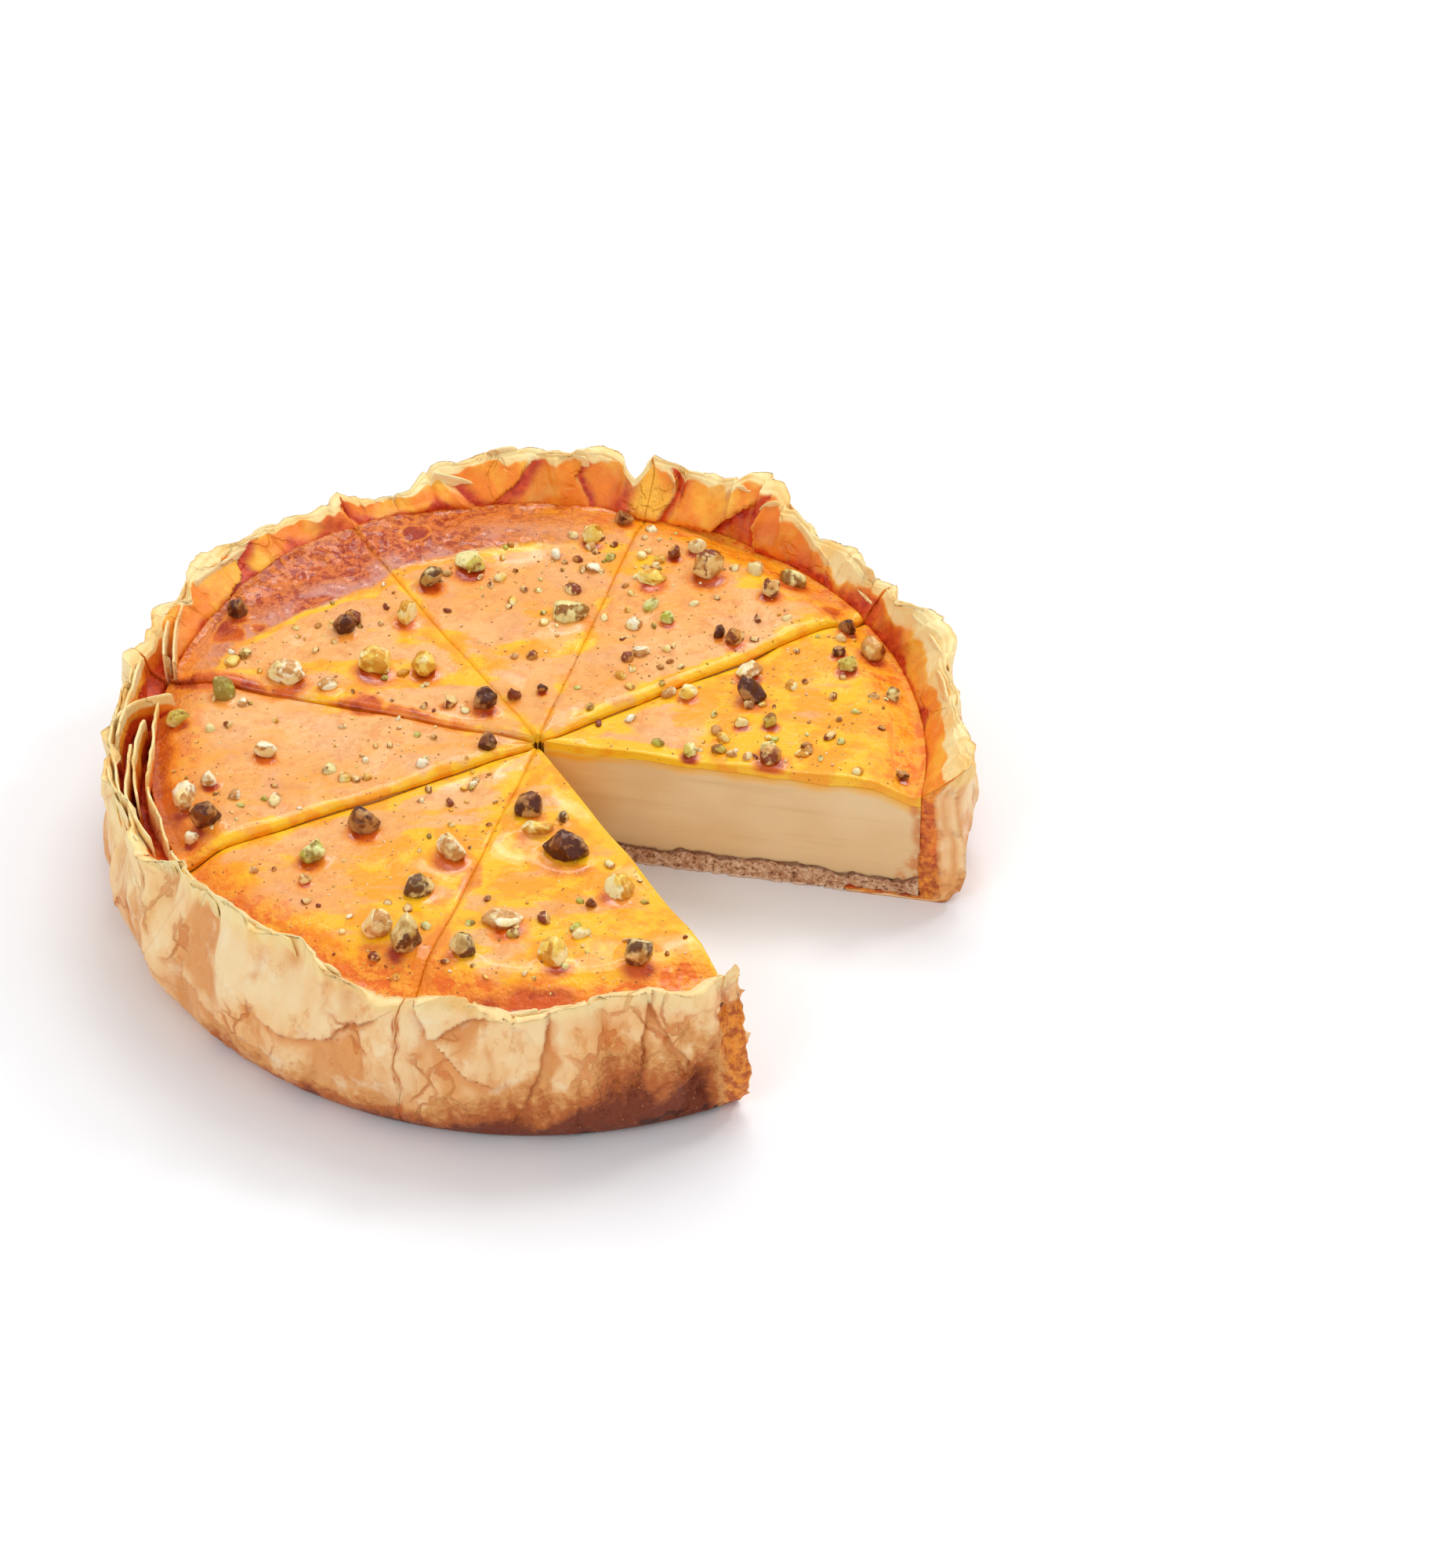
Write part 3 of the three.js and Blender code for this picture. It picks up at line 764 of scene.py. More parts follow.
    # what the finish reads
    crumbly = smooth(0.55, 0.25, through + 0.35 * roughCloud(radius, height, 6, 6, 25))
    crumbly *= smooth(50, 40, height)
    crumbly *= lerp(0.6, 1, smooth(30, 8, height + 4 * cloud(radius, height, 2, 6, 35)))
    pale = paled * smooth(46, 50, height + 3 * roughCloud(arc, 3, height, 9, 26))
    pale = np.maximum(pale, 0.8 * ridge * inner)
    amber = smooth(0.7, 0.4, through) * smooth(1.0, 0.93, up + 0.03 * cloud(arc, 1, 3, 4, 27)) * (1 - pale)
    amber = np.where(atEnd, smooth(0.5, 0.2, through), amber)
    level = glazeAtWall(middle, lift)
    foot = smooth(level + 4, level, height + 3 * cloud(arc, 1, 1, 7, 2))
    # red where the syrup soaks in at the glaze's foot and round the cake; beside the inner laps and in the
    # groove where the sheets have come apart it is painted shade
    soakedAndShade = np.maximum(foot, reddened * smooth(62, 46, height + 3 * cloud(arc, 6, height, 7, 28)))
    soakedAndShade = np.maximum(soakedAndShade, innerShadeBeside) * (1 - pale)
    soakedAndShade = np.maximum(soakedAndShade, comeApart(middle) * smooth(51, 46, height))
    # darker still near the front's foot: browning, deepened to stand also for painted shade there
    toastAndShade = toastAndShade + 0.4 * front * smooth(14, 1, outerHeight + 2 * cloud(arc, 3, 3, 9, 31))
    toastAndShade = toastAndShade * (1 - bared * smooth(291, 297, middle)) * (outer | (atEnd & (through > 0.8)))
    speckAzimuth, speckHeight = pastry["speck"]
    fromSpeck = np.hypot(arc - alongWall(speckAzimuth), height - speckHeight)
    # near black in blotches at the front's foot, partly burnt and partly painted shade; and a burnt speck
    burnAndShade = front * smooth(lerp(9, 17, front), 0, height)
    burnAndShade = burnAndShade * smooth(-0.1, 0.5, roughCloud(arc, height, 9, 9, 14))
    burnAndShade = np.maximum(burnAndShade, 1.3 * smooth(0.9, 0.5, fromSpeck)) * ~inner
    # painted shade: darker in the folds, wrinkles and rumples, in the hollow beside each lap and lower down
    # the wall; at the cut ends between the layers
    paintedShade = smooth(0.6, -1.9, folds * 0.6 + relief + wrinkle) + 0.7 * shadeBeside * byHand
    paintedShade += 0.6 * smooth(46, 14, height + 5 * cloud(arc, 9, 0, 11, 30))
    paintedShade = np.where(outer, paintedShade, smooth(0.4, -1.0, rumple) * 0.6) * (1 - 0.8 * smooth(0.88, 0.97, up))
    paintedShade = np.where(atEnd, 0.35 + 0.5 * smooth(0.3, 0.9, layered), paintedShade)
    seam = smooth(1, 0.3, fromEnd * pastry["length"]) * ~exposed * byHand
    seam = seam * (0.6 + roughCloud(height, 0, 0, 5, 32))
    crack = np.maximum(crack * (1 - bared), 1.8 * seam)
    leftSide = smooth(*pastry["butteredFrom"], middle) * smooth(*pastry["butteredTo"], middle)
    buttery = np.maximum(smooth(0.84, 0.95, up + 0.03 * cloud(arc, 2, 5, 8, 33)) * 0.8, pale * 0.9)
    buttery = np.maximum(buttery, 0.5 * leftSide * smooth(20, 40, height))
    makeLayer("pastryWall", "pastry", number, aroundAxis(radius, azimuth, height), [quads], {
        "inside": amber * ~outer, "soakedAndShade": soakedAndShade * 0.85, "burnAndShade": burnAndShade, "paintedShade": paintedShade, "toastAndShade": toastAndShade,
        "sponge": np.where(atEnd, crumbly, bared * outer),
        "crack": crack * outer * smooth(3, 8, height) * 0.7,
        "buttery": buttery * (1 - 0.3 * smooth(230, 250, middle)),
    })


for number, (start, end, lift) in enumerate(cake["slices"], 1):
    makePastry(number, start, end, lift)
print("pastry made")


# The crumb base, the filling and the glaze: blocks with the same sides

layers = {
    "steps": {"crumb": (220, 10, 16), "filling": (140, 16, 34), "glaze": (176, 112, 7)},
    "glazeMiddle": 3.2,       # thickness of the glaze
    "glazeEdge": 7.4,         # how far below the middle's level it ends at the wall
    "rounding": 3.2,          # how far from a cut the top starts to roll over, and by how much
    "roundingDrop": 1.4,
    "overlap": 0.5,           # what each layer reaches into the pastry
    "bunched": 0.35,          # how far the glaze's corners are drawn towards the cuts
    "footRadius": 97,
    "footTop": 1.9,
    # where the glaze's pool ends before the browned ring: azimuth and radius
    "shore": [(84, 97), (89, 95.6), (104, 95.3), (113, 94), (119.5, 94), (127, 91.4), (137, 93.4),
              (147.5, 98.6), (156, 105.7), (168, 108)],
    "brownedRing": (126, 42),  # its azimuth and width
    "wallRed": (270, 9),       # where the wall's foot is reddest: azimuth and width
    "frontFrom": (225, 245),   # azimuths over which the front's glaze sets in, bubbled at the wall
    # red pools: azimuth, radius and size
    "pools": [(153, 111, 6), (149, 103, 4), (112, 108, 5), (34.7, 110.6, 4)],
}


def layerBlock(layer, start, end, bunched=0):
    # a layer's corners as radius, azimuth and the shares of the slice's width and of the layer's height;
    # the ones across are drawn towards the cuts where bunched, and the ones outwards to the wall
    (outward, share, up), quads = blockSkin(layers["steps"][layer])
    share = share - bunched * np.sin(2 * np.pi * share) / (2 * np.pi)
    radius = lerp(cake["tipRadius"], cake["fillingRadius"] + layers["overlap"], outward ** 0.85)
    return radius, across(start, end, radius, share), share, up, quads


def glazeFoot(radius, azimuth, lift):
    # where the glaze meets the filling
    level = cake["glazeHeight"] + lift - lerp(layers["glazeMiddle"], layers["glazeEdge"], nearWall(radius))
    return level + 0.7 * roughCloud(*fromAbove(radius, azimuth), 0, 13, 21)


def crumbTop(radius, azimuth):
    wave = 0.6 * np.sin(cake["ripple"] * radius)
    return cake["crumbHeight"] + wave + 1.1 * roughCloud(*fromAbove(radius, azimuth), 0, 6, 31)


def makeCrumb(number, start, end):
    radius, azimuth, share, up, quads = layerBlock("crumb", start, end)
    bottom = layers["footTop"] * smooth(layers["footRadius"] - 1.2, layers["footRadius"] - 0.4, radius)
    height = lerp(bottom, crumbTop(radius, azimuth), up)
    x, y = fromAbove(radius, azimuth)
    grains = roughCloud(x, y, height, 2.2, 33, 3)
    atSide = onSide(share)
    inward = atSide * (0.35 + 0.75 * grains - 0.25 * smooth(1.5, 0, height))
    height = height + atSide * (up == 1) * 0.8 * cloud(x, y, 0, 1.8, 35)
    azimuth = azimuth + into(share) * np.degrees(np.maximum(inward, -0.2) / radius)
    pale = smooth(1.6, 0.2, height + 0.8 * grains) * atSide * 0.7
    dark = smooth(2.6, 0.2, crumbTop(radius, azimuth) - height) * atSide
    height = np.maximum(height, pastry["clearance"])
    makeLayer("crumbBase", "crumb", number, aroundAxis(radius, azimuth, height), [quads],
              {"pale": pale, "dark": dark})


def makeFilling(number, start, end, lift):
    radius, azimuth, share, up, quads = layerBlock("filling", start, end)
    top = glazeFoot(radius, azimuth, lift)
    height = lerp(crumbTop(radius, azimuth), top, up)
    x, y = fromAbove(radius, azimuth)
    drag = 0.12 * cloud(radius, height * 6, 0, 12, 41) + 0.2 * cloud(radius, height, 3, 16, 42)
    azimuth = azimuth + into(share) * onSide(share) * np.degrees((0.15 + drag) / radius)
    fromWall = cake["fillingRadius"] - radius
    warm = smooth(4.2, -0.8, top - height + 1.2 * cloud(x, y, height, 8, 43))
    warm = np.maximum(warm, 0.9 * smooth(2, -1, fromWall + 0.9 * (40 - height) + 3 * drag))
    warm = warm + 0.4 * smooth(30, 3, radius)
    stain = smooth(4, 1, fromWall - 4 * smooth(20, 8, height) + 2 * roughCloud(height, 0, 0, 7, 44))
    makeLayer("filling", "filling", number, aroundAxis(radius, azimuth, height), [quads],
              {"warm": np.clip(warm, 0, 1), "low": smooth(14, 8, height), "stain": stain})


# Pistachios: azimuth, radius, length, height, turn and kind, slice by slice

nuts = {
    "standing": [
        [(-12, 72, 9, 4, 80, "brown"), (-4, 71, 5.5, 4, 20, "olive"), (6, 72, 5.5, 4, 70, "olive"),
         (7, 63, 5, 3, 10, "yellow"), (12, 112, 5.5, 4, 10, "olive"), (18, 69, 9, 7.5, 60, "dark"),
         (20, 102, 7, 4.5, 150, "olive"), (23, 113, 9.5, 7, 80, "brown"), (24, 102, 5, 3.5, 40, "dark"),
         (25, 51, 6, 4, 20, "yellow"), (27, 73, 8.5, 4.5, 15, "pale"), (30, 111, 6, 5, 0, "dark"),
         (-9, 47, 5.5, 4, 60, "olive"), (-7, 113, 4, 4, 0, "dark")],
        [(38, 77, 6.5, 4.5, 30, "brown"), (44, 100, 7.5, 5, 110, "brown"), (45, 112, 10.5, 5.5, 130, "olive"),
         (57, 96, 11.5, 8, 40, "brown"), (62, 104, 6.5, 4.5, 10, "pale"), (66, 84, 9.5, 3.5, 0, "yellow"),
         (42, 75, 5, 4, 60, "dark"), (55, 69, 5, 3.5, 0, "green"), (65, 98, 5, 4, 70, "brown")],
        [(77, 112, 6.5, 5.5, 0, "dark"), (81, 99, 7.5, 6, 30, "yellow"), (82, 60, 12.5, 5.5, 10, "olive"),
         (105, 88, 11.5, 5, 160, "olive"), (115, 84, 8.5, 7, 45, "grey"), (88, 23, 3.5, 3, 0, "dark"),
         (112, 21, 4.5, 4, 0, "brown")],
        [(126, 72, 8.5, 7, 90, "yellow"), (137, 23, 8.5, 6, 20, "dark"), (137, 49, 9.5, 6, 80, "yellow"),
         (140, 81, 7.5, 6, 0, "dark"), (146, 62, 13, 6, 15, "yellow"), (148, 113, 7, 5.5, 0, "dark"),
         (150, 32, 5.5, 3.5, 30, "brown"), (160, 70, 6.5, 3, 0, "pale"), (162, 84, 12.5, 6, 170, "pale")],
        [(168, 100, 8, 6.5, 60, "green"), (175, 112, 8, 4.5, 20, "olive"),
         (185, 84, 7, 5.5, 0, "pale"), (192, 102, 6.5, 4, 30, "pale"), (194, 111, 10.5, 6.5, 100, "pale"),
         (201, 107, 10, 8, 20, "dark"), (203, 113, 5, 4, 20, "pale"), (202, 16, 6.5, 5, 0, "dark")],
        [(217, 65, 10, 7.5, 0, "dark"), (218, 85, 9.5, 6.5, 50, "green"), (243, 76, 10, 5.5, 25, "grey"),
         (242, 99, 10.5, 8.5, 0, "pale"), (244, 57, 11, 7, 140, "pale"), (248, 100, 12, 11, 70, "grey"),
         (223, 94, 4, 3, 0, "pale")],
        [(258, 99, 9.5, 6, 150, "grey"), (264, 83, 12.5, 4, 0, "pale"), (267, 33, 10.5, 6.5, 20, "dark"),
         (271, 41, 10.5, 3.5, 5, "yellow"), (274, 99, 10.5, 7, 0, "yellow"), (281, 52, 14.5, 7, 175, "dark"),
         (288, 104, 10, 8.5, 40, "grey"), (290, 74, 10.5, 6, 10, "yellow"), (283, 37, 4, 3.5, 0, "grey"),
         (283, 78, 3.5, 3, 0, "dark")],
    ],
    "kinds": {   # skin, flesh and its palest parts
        "olive": ((164, 108, 38), (212, 188, 80), (246, 232, 160)),
        "green": ((162, 134, 50), (196, 198, 78), (238, 236, 160)),
        "yellow": ((226, 158, 44), (250, 212, 92), (255, 242, 180)),
        "pale": ((214, 154, 84), (250, 226, 156), (255, 246, 212)),
        "brown": ((136, 60, 22), (206, 140, 58), (246, 212, 140)),
        "grey": ((112, 72, 40), (190, 150, 78), (240, 216, 150)),
        "dark": ((86, 36, 14), (126, 66, 28), (196, 140, 80)),
    },
    "spread": {"bits": (0.7, 0.75), "dust": (0.45, 0.12)},   # smallest length and how much more it varies
    # kinds of the bits, the common ones twice
    "scattered": ["brown", "yellow", "pale", "pale", "olive", "brown", "green", "yellow"],
    "sunkShare": 0.26,
    "width": 0.76,
    "bits": [60, 56, 46, 40, 44, 34, 32],   # small chopped bits on each slice
    "dust": [90, 110, 70, 60, 90, 80, 70],  # and finer crumbs
}


def standingNuts(number, start, end):
    # a slice's whole and chopped kernels, moved off its sides and the wall as the solids' are
    rows = nuts["standing"][number - 1]
    azimuth, radius, length, height, turn = np.array([row[:5] for row in rows], float).T
    reach = 0.56 * length + 0.3
    radius = np.minimum(radius, cake["fillingRadius"] - reach)
    side = np.degrees(np.arcsin((cake["kerf"] / 2 + reach) / radius))
    return np.clip(azimuth, start + side, end - side), radius, length, height, turn, [row[5] for row in rows]


def atCut(kind, number, start, end, azimuth):
    # a slice's value for the nearer one of its two cuts
    return np.where(azimuth - start < end - azimuth, cake[kind][number - 1], cake[kind][number])


def glazeTop(number, start, end, lift, radius, azimuth):
    # the level of the glaze: a low crown, slow waves, a fall or climb to the wall, and the cuts' rolled edges
    turn = np.radians(azimuth)
    place, width, rise = cake["crown"]
    waves = 0.35 * np.sin(cake["ripple"] * radius + 5 * turn) + 0.25 * np.sin(0.19 * radius - 7 * turn + 1)
    size = atCut("cutRoll", number, start, end, azimuth)
    size = size * (1 + 0.45 * cloud(*fromAbove(radius, azimuth), 4, 9, 75))
    near = 1 - np.clip(fromSide(start, end, radius, azimuth) / (layers["rounding"] * size), 0, 1)
    roll = layers["roundingDrop"] * size * (1 - np.sqrt(np.clip(1 - near**2, 0, 1)))
    level = cake["glazeHeight"] + lift + rise * hill(radius, place, width) + waves
    return level - sunk(azimuth) * nearWall(radius) - roll


def beyondShore(radius, azimuth):
    return radius - atKnots(layers["shore"], azimuth)


def brownedBand(radius, azimuth, further=0):
    # the bubbled brown ring along the back left wall, ending inwards at the shore of the glaze's pool
    beyond = beyondShore(radius, azimuth) - 1.8 * roughCloud(*fromAbove(radius, azimuth), 0, 12, 51) - further
    return hill(azimuth, *layers["brownedRing"], 4) * smooth(-1.5, 1.5, beyond)


def makeGlaze(number, start, end, lift):
    radius, azimuth, share, up, quads = layerBlock("glaze", start, end, layers["bunched"])
    x, y = fromAbove(radius, azimuth)
    top = glazeTop(number, start, end, lift, radius, azimuth)
    browned = brownedBand(radius, azimuth)
    front = smooth(*layers["frontFrom"], azimuth)
    grain = 0.28 * roughCloud(x, y, 0, 2.4, 52) + 0.5 * roughCloud(x, y, 2, 7, 53, 2)
    top += (browned + 0.8 * front * smooth(107, 114, radius)) * grain + 0.16 * cloud(x, y, 0, 16, 54)
    top += 0.9 * smooth(116.5, cake["wallRadius"], radius) * (0.5 + 0.5 * cloud(x, y, 0, 9, 55))
    nutAzimuth, nutRadius, length, *_ = standingNuts(number, start, end)
    nutX, nutY = fromAbove(nutRadius, nutAzimuth)
    off = np.hypot(x[:, None] - nutX, (y[:, None] - nutY) * 1.15)
    top += 0.45 * np.clip(hill(off, 0, 0.62 * length, 4).sum(1), 0, 1)   # a collar round each kernel
    height = lerp(glazeFoot(radius, azimuth, lift), top, up)

    # red on the front side of the kernels, towards the camera, is a painted shadow and reflection of them in
    # the gel; red also where syrup gathers in pools, along some cuts and at the wall
    below = np.hypot(x[:, None] - nutX, (y[:, None] - nutY + 0.34 * length) * 1.2)
    red = hill(below, 0, 0.56 * length, 3).max(1) * smooth(-0.8, 0.2, cloud(x, y, 0, 9, 56))
    for place, out, size in layers["pools"]:
        spot = np.hypot(np.radians(azimuth - place) * out, radius - out) / size
        red = np.maximum(red, smooth(1.1, 0.4, spot + 0.5 * roughCloud(x, y, 5, 6, 68)))
    sag = np.where(atOpenCut(start, end, share), -0.12, 0.46 * smooth(0, 0.25, up))
    sag = sag + 0.1 * cloud(x, y, height, 3, 57)
    azimuth = azimuth - into(share) * onSide(share) * np.degrees(sag / radius)
    side = fromSide(start, end, radius, azimuth)
    stained = atCut("cutStain", number, start, end, azimuth)
    reddened = stained * smooth(2 + 5 * stained, 0, side + 4.5 * roughCloud(x, y, 3, 9, 63))
    red = np.maximum(red, reddened * smooth(10, 30, radius) * smooth(-0.5, 0.2, cloud(x, y, 8, 13, 76)))
    atWall = 0.15 + 0.7 * hill(azimuth, *layers["wallRed"], 4) + 0.5 * comeApart(azimuth)
    red = np.maximum(red, atWall * smooth(109, 115.5, radius + 3 * cloud(x, y, 1, 6, 69)))

    # golden patches and cut edges, and orange towards the wall
    golden = atCut("cutGold", number, start, end, azimuth)
    edge = smooth(3.6, 1, side + 3.2 * roughCloud(x, y, 0, 7, 58) + 2.6 * (1 - golden))
    edge = edge * (1 - 0.7 * browned) * smooth(1, 0, reddened)
    gold = cake["golden"][number - 1] + 0.3 * roughCloud(x * 0.7, y * 1.3, 0, 22, 59)
    gold += 0.3 * golden * smooth(7, 1, side)
    gold += 0.3 * smooth(85, 105, radius) * smooth(60, 40, np.abs(azimuth - 10) + 30 * (azimuth > 200))
    gold += 0.55 * brownedBand(radius, azimuth, -3) * (1 - browned)
    orange = smooth(-0.1, 0.5, roughCloud(x, y, 0, 8, 60)) * smooth(98, 112, radius) * (1 - front)
    ragged = radius + 5 * roughCloud(x, y, 0, 11, 64)
    orange = np.maximum(orange, smooth(103, 109, ragged) * (0.6 + 0.4 * front))
    orange = np.maximum(orange * (1 - browned), smooth(116, 118, radius + cloud(x, y, 0, 5, 67)))
    depth = beyondShore(radius, azimuth) + 4 * roughCloud(x, y, 7, 12, 70)
    makeLayer("glaze", "glaze", number, aroundAxis(radius, azimuth, height), [quads], {
        "browned": browned, "red": red * smooth(0.3, 0.95, up), "gold": gold, "orange": orange,
        # painted lilac sheen along the browned ring's inner edge
        "edge": np.maximum(edge, smooth(0.8, 0.2, up)), "paintedLilacSheen": smooth(13, 2, depth) * browned,
    })


for number, (start, end, lift) in enumerate(cake["slices"], 1):
    makeCrumb(number, start, end)
    makeFilling(number, start, end, lift)
    makeGlaze(number, start, end, lift)
print("layers made")


def kernels(draw, corners, count):
    # lopsided ovals with lumps, ridges and pits, each cut off by two planes, and how chopped each corner is
    x, y, z = np.broadcast_to(corners, (count, *corners.shape)).transpose(2, 0, 1)
    own = np.arange(count)[:, None] * 7.7
    taper = 1 - 0.2 * np.abs(x + 0.3 * np.sin(own)) ** 3
    lump = 1 + 0.26 * roughCloud(x, y + own, z, 0.7, 61) + 0.05 * np.sin(5 * np.arctan2(y, z) + own)
    lump -= 0.12 * creases(x, y, z + own, 0.7, 65, 0.25)
    long = x * (1 + 0.1 * roughCloud(x, y, z + own, 0.9, 62))
    shape = np.stack([long, y * taper * lump, z * taper * lump], -1)
    chopped = 0
    for low, high in ((0.35, 0.8), (0.6, 1.1)):
        normal = draw.normal(size=(count, 1, 3)) * (1, 0.8, 0.8)
        normal /= np.linalg.norm(normal, axis=-1, keepdims=True)
        normal[..., 2] = np.abs(normal[..., 2])
        beyond = (shape * normal).sum(-1) - draw.uniform(low, high, (count, 1))
        beyond += 0.06 * cloud(x + own, y, z, 0.5, 66)
        chopped = np.maximum(chopped, smooth(-0.02, 0.06, beyond))
        shape = shape - normal * 0.8 * np.maximum(beyond, 0)[..., None]
    return shape, chopped


def rotated(first, second, angles):
    # two coordinates of each copy turned by its angle
    c, s = np.cos(angles)[:, None], np.sin(angles)[:, None]
    return first * c - second * s, first * s + second * c


def setDown(shape, length, width, height, turn, tilt, azimuth, radius, level):
    # scales kernels, tilts and turns them, and puts each at its place on the glaze
    x, y, z = (shape * np.stack([length, width, height], -1)[:, None] / 2).transpose(2, 0, 1)
    y, z = rotated(y, z, tilt)
    x, y = rotated(x, y, np.radians(turn))
    return np.stack([x, y, z], -1) + aroundAxis(radius, azimuth, level)[:, None]


def joined(faces, size, count):
    # a set of faces repeated for each of count copies of a shape with size corners
    return (faces[None] + size * np.arange(count)[:, None, None]).reshape(-1, faces.shape[1])


def scattered(draw, number, start, end, lift, corners, count, smallest, size):
    # chopped bits over a slice, more of them in drifts: their places, how chopped they are, and their kinds
    radius = 113 * np.sqrt(draw.uniform(0.03, 1, 3 * count))
    azimuth = across(start, end, radius, draw.uniform(0.04, 0.96, 3 * count))
    drifts = roughCloud(*fromAbove(radius, azimuth), 0, 24, 72) + 0.4 * smooth(60, 90, radius)
    wanted = drifts - 3 * brownedBand(radius, azimuth)
    kept = np.argsort(draw.uniform(-1, 1, 3 * count) - wanted)[:count]
    radius, azimuth = radius[kept], azimuth[kept]
    length = draw.gamma(3, size, count) + smallest
    shape, chopped = kernels(draw, corners, count)
    level = glazeTop(number, start, end, lift, radius, azimuth) + 0.1 * length
    width, height = length * draw.uniform(0.6, 0.9, count), length * draw.uniform(0.5, 0.8, count)
    places = setDown(shape, length, width, height, draw.uniform(0, 180, count), draw.normal(0, 0.4, count),
                     azimuth, radius, level)
    return places, chopped, draw.choice(nuts["scattered"], count)


def makeNuts():
    draw = np.random.default_rng(17)
    skins = {"large": ballSkin(18, 26), "bits": ballSkin(6, 9), "dust": ballSkin(4, 6)}
    gathered = {(kind, size): [] for kind in nuts["kinds"] for size in skins}
    for number, (start, end, lift) in enumerate(cake["slices"], 1):
        azimuth, radius, length, height, turn, kinds = standingNuts(number, start, end)
        full = height / (1 - nuts["sunkShare"])
        surface = glazeTop(number, start, end, lift, radius, azimuth)
        shape, chopped = kernels(draw, skins["large"][0], len(length))
        places = setDown(shape, length, length * nuts["width"], full, turn, draw.normal(0, 0.25, len(length)),
                         azimuth, radius, surface + (0.5 - nuts["sunkShare"]) * full)
        for k, kind in enumerate(kinds):
            wet = smooth(0.35, -0.1, places[k][:, 2] - surface[k]) * 0.8
            gathered[kind, "large"].append((places[k], chopped[k], wet))
        for size, (smallest, spread) in nuts["spread"].items():
            places, chopped, kinds = scattered(draw, number, start, end, lift, skins[size][0],
                                               nuts[size][number - 1], smallest, spread)
            for k, kind in enumerate(kinds):
                gathered[kind, size].append((places[k], chopped[k], np.full(len(places[k]), 0.1)))
    glazes = [f"glaze_{number + 1}" for number in range(len(cake["slices"]))]
    for kind in nuts["kinds"]:
        copies, faceSets, begin = [], [], 0
        for size, (corners, quads, caps) in skins.items():
            found = gathered[kind, size]
            if found:
                faceSets += [joined(faces, len(corners), len(found)) + begin for faces in (quads, caps)]
            copies += found
            begin += len(corners) * len(found)
        places, chopped, wet = (np.concatenate([copy[k] for copy in copies]) for k in range(3))
        finish = nutFinish(kind, *nuts["kinds"][kind])
        makePiece(f"pistachios{kind.capitalize()}", places, faceSets, finish, glazes,
                  {"chopped": chopped, "wet": wet})


makeNuts()
print("pistachios made")


# Thin sheets that stand up from the pastry's crest

standingSheets = {
    "thickness": 0.75,
    "deep": 13,
    "steps": {"long": (1, 64, 12), "short": (1, 12, 8)},   # through, along and up
    # the top edge as azimuth, radius and height, and how far the sheet stands inwards at its foot:
    # the left side has come apart into long sheets, and flaps are folded in at the back right
    "byHand": [
        ([(151, 128.4, 53), (157.6, 123.4, 53.5), (164.3, 118.7, 52), (170.3, 117.6, 50)], 1),
        ([(156.6, 127, 54), (163, 122.6, 54.5), (169, 119.4, 53)], 1),
        ([(182, 131.7, 55), (177, 125.5, 55), (173.6, 119, 53), (170.6, 115, 49)], 0.5),
        ([(172.6, 118.8, 50), (179, 118, 51.5), (184.3, 118.2, 52), (192, 121, 51.5)], -0.5),
        ([(192.5, 120.5, 51), (197, 121.5, 51.5), (201, 121, 51), (206, 122.5, 50.5)], 0),
        ([(184, 124.6, 53), (191.5, 126.7, 54), (197.7, 129, 54), (205.5, 127, 53)], 1.5),
        ([(184, 131.6, 54), (189.7, 130, 55.5), (196.5, 130.4, 55)], 1),
        ([(166, 127.5, 55), (172, 126, 56.5), (178, 127.5, 55.5), (184, 129, 54)], 1.5),
        ([(178, 121.5, 52), (184, 123, 53), (190, 124.5, 53), (196, 125, 52.5)], 1),
        ([(207.6, 123, 52), (214, 124.5, 54), (224, 125.5, 53)], 1.5),
        ([(50.2, 126, 56), (45, 124.5, 51.5), (40.4, 123.5, 48), (33.3, 123.2, 47.5), (28.5, 123.6, 48)], 3),
        ([(62.4, 122.5, 51), (62, 124.5, 57), (60, 127, 59), (57.8, 128, 57)], 2),
        ([(56.8, 122, 49), (56.4, 124.5, 55.5), (54.8, 127.5, 58), (53.4, 129, 57.5)], 2),
        ([(73.5, 122.5, 49), (70.4, 123, 54), (71.2, 126, 57), (73.3, 129, 58)], 1.5),
        ([(5, 127, 52), (9, 126.5, 54), (12, 125.5, 53)], 2),
        ([(83.5, 128, 57), (88, 129, 58.5), (92, 130, 57)], 2),
        ([(100, 124, 50), (104, 126, 54), (107, 128.5, 55.5)], 2), ([(34, 127, 55.5), (40, 127.5, 53.5)], 2),
        ([(132, 127, 52), (141, 127.5, 54.5), (149, 128.5, 55)], 3),
        ([(296.3, 129.5, 54), (298.9, 129.8, 56.5)], 0.3),
    ],
    # loose sheets at random along each slice's crest: how many, and their least and greatest share of it
    "loose": {"long": (1, 0.4, 0.8), "short": (7, 0.05, 0.16)},
}


